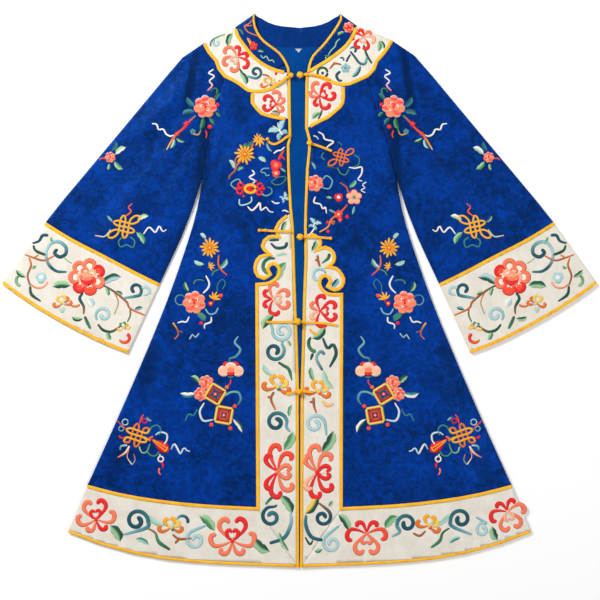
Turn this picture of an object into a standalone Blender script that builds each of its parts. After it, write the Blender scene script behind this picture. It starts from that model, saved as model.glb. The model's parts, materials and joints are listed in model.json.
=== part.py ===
"""Embroidered robe laid flat, face up, with its collar towards +Y and its back on the surface.

Every piece that a maker cuts is its own closed solid. The back lies at the bottom, its lining on it,
and the fronts on the lining. Sleeves and cuffs are flattened tubes. Sizes are in millimetres until a
mesh is made. Fronts are drawn by their distance out from the middle line and mirrored by their sign,
and the wearer's right is at -X.
"""

import math
from bisect import bisect_right
from collections import namedtuple

import bmesh
import bpy
from mathutils import Vector

MM = 0.001

# Cloth and layer heights
CLOTH = 1.6
LINING = 1.0
TUBE_WALL = 2.0
SEAM_GAP = 0.3
BACK_TOP = CLOTH
LINING_LOW = BACK_TOP + SEAM_GAP
LINING_TOP = LINING_LOW + LINING
FRONT_LOW = LINING_TOP + SEAM_GAP
FRONT_TOP = FRONT_LOW + CLOTH
FOLD_RADIUS = FRONT_TOP / 2

# Trims, bindings and cords
TRIM_WIDTH = 6.6
TRIM_HEIGHT = 1.3
TRIM_LIFT = 0.45
BINDING_WIDTH = 6.0
BINDING_HEIGHT = 2.2
COLLAR_BINDING_WIDTH = 5.0
CORD_RADIUS = 2.1
CORD_SIDES = 7

# Spacing of the cuts that let a panel bend, and of points along curves
GRID = 42.0
CURVE_STEP = 30.0
CLOUD_STEP = 9.0
FINE_STEP = 13.0

Row = namedtuple("Row", "x y corner", defaults=(0,))
Fold = namedtuple("Fold", "x0 y0 x1 y1 width height")
Knot = namedtuple("Knot", "x y radius height")
Side = namedtuple(
    "Side",
    "name sign collar_top collar_seam back_top back_neck "
    "yoke_edge notch armhole tab_edge front_edge cloud_edge",
)


def rows(*values):
    return [Row(*value) for value in values]


# Columns of every outline: out from the middle, up the garment, 1 at a sharp corner
RIGHT = Side(
    name="right",
    sign=-1,
    collar_top=rows((89, 553), (90, 537), (80, 511), (65, 495), (41, 478), (27, 460), (20, 444), (19, 432)),
    collar_seam=rows(
        (129, 526), (123, 508), (111, 490), (96, 471), (78, 455), (56, 443), (37, 437), (27, 435)
    ),
    back_top=rows((0, 525), (43, 529), (68, 538), (89, 553)),
    back_neck=rows((0, 484), (45, 486), (78, 493), (107, 507), (129, 526)),
    yoke_edge=rows(
        (191, 495),
        (181, 476),
        (166, 458),
        (161, 443),
        (149, 428, 1),
        (136, 422),
        (119, 412),
        (103, 400),
        (93, 398, 1),
        (73, 398),
        (56, 403),
        (40, 413),
    ),
    notch=4,
    armhole=rows((149, 428), (168, 351), (180, 309), (187, 265), (194, 225)),
    tab_edge=rows((93, 398), (94, 375), (86, 364), (75, 353, 1), (58, 348), (40, 344)),
    front_edge=rows(
        (18, 432), (17, 345), (16, 309), (20, 289), (19, 243), (15, 165), (11, 127), (9, 63), (6, -37),
        (3, -105), (1, -197), (1, -553),
    ),
    cloud_edge=rows(
        (41, 135),
        (47, 123),
        (41, 107, 1),
        (61, 107),
        (74, 89),
        (58, 71, 1),
        (79, 67),
        (89, 46),
        (83, 29),
        (71, 24),
        (58, 32, 1),
        (64, 43),
        (53, 54),
        (40, 43),
        (44, 27),
        (60, 15),
        (85, 12),
    ),
)

LEFT = Side(
    name="left",
    sign=1,
    collar_top=rows((81, 553), (82, 544), (66, 517), (44, 489), (25, 469), (18, 454), (16, 438)),
    collar_seam=rows((115, 529), (107, 509), (94, 490), (77, 475), (57, 460), (37, 448), (25, 441)),
    back_top=rows((0, 525), (37, 529), (60, 538), (81, 553)),
    back_neck=rows((0, 484), (40, 486), (71, 493), (97, 508), (115, 529)),
    yoke_edge=rows(
        (185, 500),
        (177, 486),
        (165, 470),
        (154, 458),
        (149, 443),
        (135, 428, 1),
        (117, 420),
        (101, 413),
        (87, 411, 1),
        (71, 414),
        (57, 420),
        (38, 427),
    ),
    notch=5,
    armhole=rows((135, 428), (152, 369), (164, 333), (178, 287), (189, 245), (194, 225)),
    tab_edge=rows((87, 411), (86, 374), (72, 359), (57, 346, 1), (38, 337)),
    front_edge=rows(
        (12, 436), (11, 325), (18, 299), (17, 279), (13, 243), (10, 165), (9, 127), (10, 63), (7, -13),
        (5, -105), (2, -197), (1, -553),
    ),
    cloud_edge=rows(
        (30, 110),
        (40, 104),
        (41, 89),
        (32, 79, 1),
        (52, 86),
        (68, 75),
        (68, 57),
        (54, 46, 1),
        (73, 44),
        (88, 24),
        (84, 8),
        (70, 1),
        (56, 8, 1),
        (62, 19),
        (52, 30),
        (41, 21),
        (43, 5),
        (57, -7),
        (84, -8),
    ),
)

SIDES = (RIGHT, LEFT)
TAB_BOTTOM = {"right": 343, "left": 325}
CLOUD_TOP = {"right": 153, "left": 113}
YOKE_TIP = {"right": 424, "left": 431}

# Outlines that both halves share
SIDE_SEAM = rows(
    (194, 225), (205, 161), (222, 101), (264, -19), (313, -139), (365, -259), (419, -379), (424, -391)
)
HEM_SEAM = rows((83, -436, 1), (194, -430), (280, -421), (362, -407), (424, -391))
HEM_EDGE = rows((1, -553), (81, -550), (173, -546), (265, -538), (333, -526), (400, -507), (461, -484))
BACK_YOKE_EDGE = rows((-110, 404), (-60, 397), (0, 395), (60, 397), (110, 404))
SLEEVE_FOLD = rows((211, 488), (239, 461), (289, 401), (389, 281), (489, 161))
SLEEVE_UNDER = rows((214, 161), (238, 101))
CUFF_SEAM = rows((509, 134), (456, 101), (395, 70), (335, 38), (280, 11))
CUFF_END = rows((595, 14), (548, -20), (500, -50), (430, -88), (385, -109), (342, -126))

# Folds of the upper layer, the same on both halves, in millimetres out, up, wide and high
FOLDS = (
    Fold(x0=205, y0=430, x1=330, y1=300, width=34, height=3.0),
    Fold(x0=190, y0=370, x1=300, y1=215, width=30, height=2.6),
    Fold(x0=205, y0=290, x1=270, y1=160, width=26, height=2.2),
    Fold(x0=300, y0=240, x1=420, y1=40, width=42, height=2.6),
    Fold(x0=175, y0=235, x1=95, y1=275, width=24, height=2.0),
    Fold(x0=165, y0=170, x1=215, y1=-250, width=48, height=2.6),
    Fold(x0=120, y0=-60, x1=170, y1=-470, width=44, height=2.4),
    Fold(x0=235, y0=-60, x1=345, y1=-450, width=50, height=3.0),
)

# Collar: how far its upper edge stands up from the layer under it, at its side fold and at its front end
COLLAR_RISE_SIDE = 5.4
COLLAR_RISE_FRONT = 1.6
COLLAR_COLUMNS = 4
COLLAR_BACK_STATIONS = 6
COLLAR_FRONT_STATIONS = 12
COLLAR_FOLD_STEPS = 4
COLLAR_TIP_SHARE = 0.9
COLLAR_SEAM_GAP = 0.8
COLLAR_FOLD_CUT = 10.0

# Sleeve and cuff tubes
SLEEVE_STATIONS = 9
CUFF_STATIONS = 4
CUFF_AROUND = 11
EDGE_STEPS = 4
TRIM_PROUD = 0.8
LINING_MARGIN = 4.0

# Heights that cords rest at: on the lining, on a panel, and on a panel's trims
ON_LINING = LINING_TOP + SEAM_GAP
ON_PANEL = FRONT_TOP + SEAM_GAP + 0.3
ON_TRIM = FRONT_TOP + TRIM_LIFT + TRIM_HEIGHT + SEAM_GAP
BALL = 5.4
KNOB = 3.4
THIN = CORD_RADIUS

# Columns: across, up, radius, height of the cord's underside
FROGS = {
    "frog_1_right": (
        (-49, 407, THIN, ON_TRIM),
        (-40, 413, THIN, ON_TRIM),
        (-32, 419, THIN, ON_TRIM),
        (-25, 425, THIN, ON_TRIM),
        (-17, 429, 4.2, ON_TRIM),
    ),
    "frog_1_left": (
        (1, 430, BALL, ON_LINING),
        (11, 431, THIN, ON_TRIM),
        (22, 431, THIN, ON_TRIM),
        (40, 428, THIN, ON_TRIM),
        (61, 421, THIN, ON_TRIM),
    ),
    "frog_2_right": (
        (-64, 302, KNOB, ON_PANEL),
        (-59, 295, THIN, ON_PANEL),
        (-50, 292, THIN, ON_PANEL),
        (-38, 297, THIN, ON_PANEL),
        (-26, 306, THIN, ON_TRIM),
        (-19, 310, THIN, ON_TRIM),
    ),
    "frog_2_left": (
        (20, 294, 4.6, ON_TRIM),
        (30, 291, THIN, ON_TRIM),
        (45, 286, THIN, ON_PANEL),
        (65, 278, THIN, ON_PANEL),
    ),
    "frog_3_right": (
        (-80, 120, KNOB, ON_PANEL),
        (-74, 120, THIN, ON_PANEL),
        (-68, 120, KNOB, ON_PANEL),
        (-58, 119, THIN, ON_TRIM),
        (-37, 118, THIN, ON_TRIM),
        (-15, 118, THIN, ON_TRIM),
    ),
    "frog_3_left": (
        (1, 107, BALL, ON_LINING),
        (10, 107, THIN, ON_TRIM),
        (37, 106, THIN, ON_TRIM),
        (50, 105, THIN, ON_TRIM),
        (62, 104, KNOB, ON_PANEL),
    ),
    "frog_4_right": (
        (-64, -63, 2.8, ON_PANEL),
        (-56, -63, THIN, ON_PANEL),
        (-22, -63, THIN, ON_PANEL),
        (-12, -63, THIN, ON_TRIM),
        (-4, -62, 5.6, ON_TRIM),
    ),
    "frog_4_left": (
        (6, -63, 3.2, ON_TRIM),
        (14, -64, THIN, ON_TRIM),
        (35, -65, THIN, ON_PANEL),
        (61, -67, THIN, ON_PANEL),
        (76, -70, THIN, ON_PANEL),
    ),
    "frog_5_right": (
        (-27, -207, THIN, ON_PANEL),
        (-16, -204, THIN, ON_TRIM),
        (-8, -202, THIN, ON_TRIM),
        (-1, -202, 4.6, ON_TRIM),
    ),
    "frog_5_left": (
        (7, -201, THIN, ON_TRIM),
        (16, -202, THIN, ON_TRIM),
        (28, -203, THIN, ON_PANEL),
    ),
}

NECK_TAB = rows((-9, 483), (5, 483), (-2, 475))

SATIN = ("robe_satin", (0.006, 0.035, 0.215), 0.42)
COLLAR_SATIN = ("collar_satin", (0.005, 0.031, 0.18), 0.42)
LINING_SILK = ("lining_silk", (0.001, 0.052, 0.235), 0.5)
IVORY_SILK = ("ivory_silk", (0.83, 0.77, 0.67), 0.6)
GOLD_SATIN = ("gold_satin", (0.86, 0.44, 0.02), 0.45)
PALE_TAPE = ("pale_tape", (0.6, 0.6, 0.58), 0.7)


def material(finish):
    name, colour, roughness = finish
    made = bpy.data.materials.get(name)
    if made is None:
        made = bpy.data.materials.new(name)
        made.use_nodes = True
        shader = made.node_tree.nodes["Principled BSDF"]
        shader.inputs["Base Color"].default_value = (*colour, 1.0)
        shader.inputs["Roughness"].default_value = roughness
        shader.inputs["Metallic"].default_value = 0.0
    return made


def finish_object(name, bm, finish):
    """Close the shape's book-keeping: normals out, millimetres to metres, one object with its material."""
    bmesh.ops.triangulate(bm, faces=bm.faces[:])
    bmesh.ops.recalc_face_normals(bm, faces=bm.faces[:])
    bmesh.ops.scale(bm, vec=(MM, MM, MM), verts=bm.verts[:])
    mesh = bpy.data.meshes.new(name)
    bm.to_mesh(mesh)
    bm.free()
    mesh.shade_smooth()
    mesh.set_sharp_from_angle(angle=math.radians(40))
    mesh.materials.append(material(finish))
    made = bpy.data.objects.new(name, mesh)
    bpy.context.scene.collection.objects.link(made)
    return made


# Curves in the plane


def rounded(points, step):
    """Points along a smooth curve through all of these points."""
    if len(points) < 3:
        ends = list(points)
        count = max(1, round((ends[1] - ends[0]).length / step))
        return [ends[0].lerp(ends[1], i / count) for i in range(count + 1)]
    padded = [2 * points[0] - points[1], *points, 2 * points[-1] - points[-2]]
    made = [points[0].copy()]
    for before, start, end, after in zip(padded, padded[1:], padded[2:], padded[3:]):
        length = (end - start).length
        pull = length / 2
        leave = (end - before).normalized() * pull
        arrive = (after - start).normalized() * pull
        count = max(1, round(length / step))
        for i in range(1, count + 1):
            t = i / count
            made.append(
                (2 * t**3 - 3 * t**2 + 1) * start
                + (t**3 - 2 * t**2 + t) * leave * 2
                + (3 * t**2 - 2 * t**3) * end
                + (t**3 - t**2) * arrive * 2
            )
    return made


def curve(table, step=CURVE_STEP):
    """A line through a table's rows, smooth between its corners."""
    made = []
    stretch = []
    for row in table:
        stretch.append(Vector((row.x, row.y)))
        if row.corner and len(stretch) > 1:
            made += rounded(stretch, step)[:-1]
            stretch = [stretch[-1]]
    return made + (rounded(stretch, step) if len(stretch) > 1 else stretch)


def lengths(points):
    made = [0.0]
    for start, end in zip(points, points[1:]):
        made.append(made[-1] + (end - start).length)
    return made


def at_share(points, shares):
    """The points at these shares of a line's length."""
    marks = lengths(points)
    made = []
    for share in shares:
        want = min(max(share, 0.0), 1.0) * marks[-1]
        i = min(max(bisect_right(marks, want) - 1, 0), len(points) - 2)
        span = marks[i + 1] - marks[i]
        made.append(points[i].lerp(points[i + 1], (want - marks[i]) / span if span else 0.0))
    return made


def at_height(table, y):
    """A table's distance out at this height, straight between its rows, which go down."""
    for upper, lower in zip(table, table[1:]):
        if y >= lower.y:
            return lower.x + (upper.x - lower.x) * (min(y, upper.y) - lower.y) / (upper.y - lower.y)
    return table[-1].x


def edge_normals(points, closed=False):
    """The mitred normal at each point, to the left of the way along."""
    count = len(points)
    made = []
    for i, point in enumerate(points):
        before = points[(i - 1) % count] if closed or i > 0 else None
        after = points[(i + 1) % count] if closed or i < count - 1 else None
        come = (point - before).normalized() if before is not None else (after - point).normalized()
        go = (after - point).normalized() if after is not None else come
        along = (come + go).normalized() if (come + go).length > 0.05 else come
        normal = Vector((-along.y, along.x))
        square = Vector((-come.y, come.x))
        made.append(normal / max(normal.dot(square), 0.6))
    return made


def shifted(points, distance, closed=False):
    return [p + n * distance for p, n in zip(points, edge_normals(points, closed))]


def area_of(points):
    return sum(a.x * b.y - b.x * a.y for a, b in zip(points, points[1:] + points[:1])) / 2


def inset(points, distance):
    """A closed outline drawn in by this distance, anticlockwise."""
    outline = [p for p, q in zip(points, points[1:] + points[:1]) if (p - q).length > 0.4]
    if area_of(outline) < 0:
        outline.reverse()
    return shifted(outline, distance, closed=True)


# Height of the cloth


def fold_height(x, y):
    """How far the folds lift the upper layer at a place, out and up."""
    height = 0.0
    for fold in FOLDS:
        start = Vector((fold.x0, fold.y0))
        along = Vector((fold.x1, fold.y1)) - start
        place = Vector((x, y)) - start
        share = place.dot(along) / along.length_squared
        across = abs(place.cross(along)) / along.length / fold.width
        if 0.0 < share < 1.0 and across < 1.0:
            taper = math.sin(math.pi * share) ** 0.7
            height = max(height, fold.height * taper * math.cos(math.pi / 2 * across) ** 2)
    return height


def front_low(x, y):
    return FRONT_LOW + fold_height(x, y)


def front_top(x, y):
    return FRONT_TOP + fold_height(x, y)


# Solids


def cut_on_grid(bm, spacing):
    """Cut flat faces along a square grid, so that folds can bend them."""
    for axis in (0, 1):
        low = min(v.co[axis] for v in bm.verts)
        high = max(v.co[axis] for v in bm.verts)
        normal = Vector((0.0, 0.0, 0.0))
        normal[axis] = 1.0
        for line in range(math.ceil(low / spacing), math.ceil(high / spacing)):
            bmesh.ops.bisect_plane(
                bm,
                geom=bm.verts[:] + bm.edges[:] + bm.faces[:],
                dist=0.5,
                plane_co=normal * line * spacing,
                plane_no=normal,
            )


def panel(name, outline, finish, sign=1, low=0.0, high=CLOTH, grid=None):
    """A flat piece of cloth cut to an outline, between two heights that may be functions of place."""
    bm = bmesh.new()
    corners = [bm.verts.new((p.x, p.y, 0.0)) for p in inset(outline, SEAM_GAP / 2)]
    bm.faces.new(corners)
    if grid:
        cut_on_grid(bm, grid)
    bmesh.ops.triangulate(bm, faces=bm.faces[:])
    under = bm.verts[:]
    grown = bmesh.ops.extrude_face_region(bm, geom=bm.faces[:])
    over = [v for v in grown["geom"] if isinstance(v, bmesh.types.BMVert)]
    for verts, height in ((under, low), (over, high)):
        for vert in verts:
            vert.co.z = height(vert.co.x, vert.co.y) if callable(height) else height
    for vert in bm.verts:
        vert.co.x *= sign
    return finish_object(name, bm, finish)


def join_rings(bm, first, second):
    count = len(first)
    for i in range(count):
        j = (i + 1) % count
        bm.faces.new((first[i], first[j], second[j], second[i]))


def swept(name, sections, finish, sign=1):
    """A closed solid through sections of like points, its two ends capped."""
    bm = bmesh.new()
    rings = [[bm.verts.new((p.x * sign, p.y, p.z)) for p in section] for section in sections]
    for first, second in zip(rings, rings[1:]):
        join_rings(bm, first, second)
    bm.faces.new(rings[0])
    bm.faces.new(rings[-1])
    return finish_object(name, bm, finish)


def tube(name, outer, inner, finish, sign):
    """An open tube with a wall: outer rings, inner rings, and a rim at each end."""
    bm = bmesh.new()
    skins = []
    for skin in (outer, inner):
        rings = [[bm.verts.new((p.x * sign, p.y, p.z)) for p in ring] for ring in skin]
        for first, second in zip(rings, rings[1:]):
            join_rings(bm, first, second)
        skins.append(rings)
    for end in (0, -1):
        join_rings(bm, skins[0][end], skins[1][end])
    return finish_object(name, bm, finish)


STRIP_SECTION = ((-1.0, 0.0), (-1.0, 0.45), (-0.5, 0.95), (0.5, 0.95), (1.0, 0.45), (1.0, 0.0))


def strip(name, path, width, height, base, finish, sign=1):
    """A rounded strip of cloth along a line, its underside following the height that base gives."""
    sections = []
    for point, normal in zip(path, edge_normals(path)):
        section = []
        for across, up in STRIP_SECTION:
            place = point + normal * across * width / 2
            section.append(Vector((place.x, place.y, base(place.x, place.y) + up * height)))
        sections.append(section)
    return swept(name, sections, finish, sign)


def tape(name, first, second, finish):
    """A flat strip of the back layer between two lines of like points, clear of its neighbours."""
    sections = []
    for p, q in zip(first, second):
        clear = (q - p).normalized() * SEAM_GAP / 2
        corners = ((p + clear, 0.0), (p + clear, CLOTH), (q - clear, CLOTH), (q - clear, 0.0))
        sections.append([Vector((corner.x, corner.y, z)) for corner, z in corners])
    swept(name, sections, finish)


def on_front(x, y):
    return front_top(x, y) + TRIM_LIFT


def mirrored(points):
    return [Vector((-p.x, p.y)) for p in points]


def point(row):
    return Vector((row.x, row.y))


def clipped(path, start=0.0, end=0.0):
    """A line without this much of its start and end."""
    marks = lengths(path)
    whole = marks[-1]
    kept = [p for p, mark in zip(path, marks) if start + 1.0 < mark < whole - end - 1.0]
    first, last = at_share(path, (start / whole, 1 - end / whole))
    return [first, *kept, last]


# Lines of one front


def panel_edge(side, y):
    """How far out the front pieces start, beside the binding."""
    return at_height(side.front_edge, y) + BINDING_WIDTH + SEAM_GAP / 2


def edge_point(side, y):
    return Vector((panel_edge(side, y), y))


def front_line(side, high, low):
    """Down the front pieces' edge between two heights, without its ends."""
    return [edge_point(side, row.y) for row in side.front_edge if low + 6.0 < row.y < high - 6.0]


def yoke_line(side):
    tip = YOKE_TIP[side.name]
    return curve([*side.yoke_edge, Row(panel_edge(side, tip), tip)], FINE_STEP)


def nearest(line, row):
    return min(range(len(line)), key=lambda i: (line[i] - point(row)).length)


def tab_line(side):
    low = TAB_BOTTOM[side.name]
    return curve([*side.tab_edge, Row(panel_edge(side, low), low)], FINE_STEP)


def cloud_line(side):
    """From the front edge round the cloud head and straight down to the hem band's corner."""
    top = CLOUD_TOP[side.name]
    head = curve([Row(panel_edge(side, top), top), *side.cloud_edge], CLOUD_STEP)
    return head + rounded([head[-1], point(HEM_SEAM[0])], 2 * GRID)[1:]


def sleeve_root(side):
    """From the shoulder down the yoke's edge to the notch, then down the armhole."""
    yoke = curve(side.yoke_edge[: side.notch + 1], FINE_STEP)
    return yoke[:-1] + curve(side.armhole)


def hem_line(up=0.0):
    """The hem's lower edge, or a line this far above it, from the middle out."""
    return [p + Vector((0.0, up)) for p in curve(HEM_EDGE, 2 * CURVE_STEP)]


# Back


def across(right_line, left_line):
    """A line from far out on the right to the middle, and on out to the far left, in true positions."""
    return mirrored(reversed(right_line)) + list(left_line)


def make_back():
    hem_seam = curve(HEM_SEAM, 2 * CURVE_STEP)
    seam_up = Vector((0.0, TRIM_WIDTH / 2))
    hem_seam_high = [p + seam_up for p in across(hem_seam, hem_seam)]
    hem_seam_low = [p - seam_up for p in across(hem_seam, hem_seam)]
    hem_cut = across(hem_line(BINDING_WIDTH), hem_line(BINDING_WIDTH))
    hem_end = across(hem_line(), hem_line())
    tape("hem_trim_back", hem_seam_high, hem_seam_low, GOLD_SATIN)
    panel("hem_band_back", hem_seam_low + hem_cut[::-1], IVORY_SILK)
    tape("hem_binding_back", hem_cut, hem_end, GOLD_SATIN)

    notches = [Vector((side.armhole[0].x * side.sign, side.armhole[0].y)) for side in SIDES]
    low_yoke = rounded([notches[0], *[point(row) for row in BACK_YOKE_EDGE], notches[1]], CURVE_STEP)
    shoulders = [curve(side.yoke_edge[: side.notch + 1], FINE_STEP) for side in SIDES]
    yoke_edge = mirrored(shoulders[0])[:-1] + low_yoke + shoulders[1][-2::-1]
    yoke_seam = shifted(yoke_edge, TRIM_WIDTH)
    neck = across(curve(RIGHT.back_neck), curve(LEFT.back_neck)[1:])
    tape("yoke_trim_back", yoke_edge, yoke_seam, GOLD_SATIN)
    panel("yoke_back", yoke_seam + neck[::-1], IVORY_SILK)

    armholes = [curve(side.armhole)[:-1] + curve(SIDE_SEAM)[:-1] for side in SIDES]
    body = mirrored(armholes[0]) + hem_seam_high + armholes[1][::-1]
    panel("back_panel", body + low_yoke[-2:0:-1], SATIN)

    sides = [sleeve_root(side)[:-1] + curve(SIDE_SEAM)[:-1] for side in SIDES]
    neck_allowance = Vector((0.0, LINING_MARGIN - SEAM_GAP))
    whole = mirrored(sides[0]) + hem_cut + sides[1][::-1] + [p + neck_allowance for p in neck[::-1]]
    panel("back_lining", inset(whole, LINING_MARGIN), LINING_SILK, low=LINING_LOW, high=LINING_TOP)
    panel("neck_tab", [point(row) for row in NECK_TAB], PALE_TAPE, low=FRONT_LOW, high=FRONT_LOW + LINING)


# Fronts


def make_front(side):
    def cut(name, outline, finish):
        panel(f"{name}_{side.name}", outline, finish, side.sign, front_low, front_top, GRID)

    def trim(name, path):
        strip(f"{name}_{side.name}", path, TRIM_WIDTH, TRIM_HEIGHT, on_front, GOLD_SATIN, side.sign)

    yoke = yoke_line(side)
    tab = tab_line(side)
    cloud = cloud_line(side)
    notch = nearest(yoke, side.armhole[0])
    tab_start = nearest(yoke, side.tab_edge[0])
    tab_bottom = TAB_BOTTOM[side.name]
    cloud_top = CLOUD_TOP[side.name]
    hem_seam = curve(HEM_SEAM, GRID)
    neck_seam = curve(side.collar_seam, FINE_STEP)
    hem_corner = edge_point(side, HEM_EDGE[0].y + BINDING_WIDTH)

    body = yoke[notch:tab_start] + tab + front_line(side, tab_bottom, cloud_top) + cloud + hem_seam[1:]
    body += curve(SIDE_SEAM)[-2:0:-1] + curve(side.armhole)[:0:-1]
    cut("front_panel", body, SATIN)
    cut("front_band", [*cloud, hem_corner, *front_line(side, cloud_top, hem_corner.y)[::-1]], IVORY_SILK)
    hem_cut = [p for p in hem_line(BINDING_WIDTH) if p.x > hem_corner.x + 6.0]
    cut("hem_band", hem_seam + hem_cut[::-1] + [hem_corner], IVORY_SILK)
    cut("yoke", neck_seam + [edge_point(side, neck_seam[-1].y)] + yoke[::-1], IVORY_SILK)
    tab_front = front_line(side, YOKE_TIP[side.name], tab_bottom)
    cut("chest_tab", yoke[tab_start:] + tab_front + tab[:0:-1], IVORY_SILK)

    trim("border_trim", clipped(cloud[:-1] + hem_seam, start=6.0, end=1.0))
    trim("yoke_trim", clipped(yoke, start=2.0, end=9.0))
    trim("tab_trim", clipped(tab, start=5.0, end=5.0))
    trim("neck_trim", clipped(neck_seam, start=5.0, end=4.0))

    half = Vector((BINDING_WIDTH / 2, 0.0))
    top = side.collar_top[-1].y - BINDING_WIDTH / 2
    down = [Vector((at_height(side.front_edge, top), top)) + half]
    down += [point(row) + half for row in side.front_edge if row.y < top - 6.0]
    foot = edge_point(side, HEM_EDGE[0].y) + Vector((SEAM_GAP, BINDING_WIDTH / 2))
    hem = [foot] + [p for p in hem_line(BINDING_WIDTH / 2) if p.x > foot.x + 6.0]
    width = BINDING_WIDTH - SEAM_GAP
    for name, path in (("front_binding", down), ("hem_binding", hem)):
        strip(f"{name}_{side.name}", path, width, BINDING_HEIGHT, front_low, GOLD_SATIN, side.sign)


# Sleeves and cuffs


def between(start_line, end_line, top, under, share, v):
    """A place on the sleeve's face between its two end lines, its upper fold and its under edge."""
    along = at_share(start_line, (v,))[0].lerp(at_share(end_line, (v,))[0], share)
    down = at_share(top, (share,))[0].lerp(at_share(under, (share,))[0], v)
    corners = start_line[0].lerp(end_line[0], share).lerp(start_line[-1].lerp(end_line[-1], share), v)
    return along + down - corners


def tube_rings(line_at, shares, steps, proud=0.0):
    """Outer and inner rings of a flattened tube. line_at gives a place on its face by share and by v."""
    outer = []
    inner = []
    slot = FOLD_RADIUS - TUBE_WALL
    arc = [math.pi * i / EDGE_STEPS for i in range(1, EDGE_STEPS)]
    for share in shares:
        width = (line_at(share, 0.0) - line_at(share, 1.0)).length
        edge = FOLD_RADIUS / width
        face = [line_at(share, min(max(v, edge), 1 - edge)) for v in steps]
        under_way = (face[-1] - face[-2]).normalized()
        fold_way = (face[0] - face[1]).normalized()
        for skin, depth, reach in ((outer, 0.0, FOLD_RADIUS), (inner, TUBE_WALL, slot)):
            ring = []
            for p in face:
                rise = fold_height(p.x, p.y) + (proud if depth == 0.0 else 0.0)
                ring.append(Vector((p.x, p.y, FRONT_TOP - depth + rise)))
            for angle in arc:
                p = face[-1] + under_way * reach * math.sin(angle)
                ring.append(Vector((p.x, p.y, FOLD_RADIUS + reach * math.cos(angle))))
            ring += [Vector((p.x, p.y, depth)) for p in reversed(face)]
            for angle in arc:
                p = face[0] + fold_way * reach * math.sin(angle)
                ring.append(Vector((p.x, p.y, FOLD_RADIUS - reach * math.cos(angle))))
            skin.append(ring)
    return outer, inner


def make_sleeve(side):
    def make(name, line_at, stations, steps, finish, proud=0.0):
        shares = [i / stations for i in range(stations + 1)]
        outer, inner = tube_rings(line_at, shares, steps, proud)
        tube(f"{name}_{side.name}", outer, inner, finish, side.sign)

    def straight(start_line, end_line):
        return lambda share, v: at_share(start_line, (v,))[0].lerp(at_share(end_line, (v,))[0], share)

    seam = curve(CUFF_SEAM)
    end = curve(CUFF_END)
    root = shifted(sleeve_root(side), SEAM_GAP / 2)
    half = TRIM_WIDTH / 2
    sleeve_end = shifted(seam, -half - SEAM_GAP)
    top = [root[0], *[point(row) for row in SLEEVE_FOLD], sleeve_end[0]]
    under = [root[-1], *[point(row) for row in SLEEVE_UNDER], sleeve_end[-1]]
    own = lengths(root)
    root_steps = [mark / own[-1] for mark in own]
    even_steps = [i / CUFF_AROUND for i in range(CUFF_AROUND + 1)]

    def face(share, v):
        return between(root, sleeve_end, top, under, share, v)

    make("sleeve", face, SLEEVE_STATIONS, root_steps, SATIN)
    cuff_trim = straight(shifted(seam, -half), shifted(seam, half))
    make("cuff_trim", cuff_trim, 1, even_steps, GOLD_SATIN, TRIM_PROUD)
    band = straight(shifted(seam, half + SEAM_GAP), shifted(end, -BINDING_WIDTH - SEAM_GAP))
    make("cuff_band", band, CUFF_STATIONS, even_steps, IVORY_SILK)
    make("cuff_binding", straight(shifted(end, -BINDING_WIDTH), end), 1, even_steps, GOLD_SATIN, TRIM_PROUD)


# Collar


def collar_rise(share):
    return COLLAR_RISE_SIDE + (COLLAR_RISE_FRONT - COLLAR_RISE_SIDE) * min(1.0, share * 1.3) ** 0.8


def collar_sections(side):
    """Sections of one collar half, from the centre back round its side fold to the front."""
    columns = [i / (COLLAR_COLUMNS - 1) for i in range(COLLAR_COLUMNS)]
    fold_seam = point(side.collar_seam[0])
    fold_top = point(side.collar_top[0])
    fold_way = (fold_top - fold_seam).normalized()
    outward = Vector((fold_way.y, -fold_way.x))
    back_shares = [i / COLLAR_BACK_STATIONS for i in range(COLLAR_BACK_STATIONS)]
    seams = at_share(curve(side.back_neck), back_shares)
    tops = at_share(curve(side.back_top), back_shares)
    sections = []
    for i, (seam, top) in enumerate(zip(seams, tops)):
        middle_gap = Vector((0.0 if i else SEAM_GAP / 2, 0.0))
        low = seam + (top - seam).normalized() * COLLAR_SEAM_GAP
        line = [low.lerp(top, c) + middle_gap for c in columns]
        sections.append([(p, 0.0) for p in line] + [(p, CLOTH) for p in reversed(line)])
    for i in range(COLLAR_FOLD_STEPS + 1):
        angle = math.pi * (i / COLLAR_FOLD_STEPS - 0.5)
        skins = []
        for depth in (0.0, CLOTH):
            skin = []
            for c in columns:
                radius = (FRONT_TOP + COLLAR_RISE_SIDE * c * c) / 2
                crest = (fold_seam + fold_way * COLLAR_SEAM_GAP).lerp(fold_top, c)
                place = crest - outward * radius + outward * (radius - depth) * math.cos(angle)
                if i > COLLAR_FOLD_STEPS / 2:
                    place = place - fold_way * COLLAR_FOLD_CUT * c
                skin.append((place, radius + (radius - depth) * math.sin(angle)))
            skins.append(skin)
        sections.append(skins[0] + skins[1][::-1])
    for share, seam, top in collar_stations(side):
        if share == 0.0 or share > COLLAR_TIP_SHARE:
            continue
        across_way = (top - seam).normalized()
        low = seam + across_way * SEAM_GAP
        high = top - across_way * (COLLAR_BINDING_WIDTH + SEAM_GAP)
        line = [(low.lerp(high, c), FRONT_TOP + collar_rise(share) * c * c) for c in columns]
        sections.append(line + [(p, z - CLOTH) for p, z in reversed(line)])
    return [[Vector((p.x, p.y, z)) for p, z in section] for section in sections]


def collar_stations(side):
    """Share, seam point and upper point along the front of the collar."""
    shares = [i / COLLAR_FRONT_STATIONS for i in range(COLLAR_FRONT_STATIONS + 1)]
    seams = at_share(curve(side.collar_seam, FINE_STEP), shares)
    tops = at_share(curve(side.collar_top, FINE_STEP), shares)
    return list(zip(shares, seams, tops))


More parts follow.
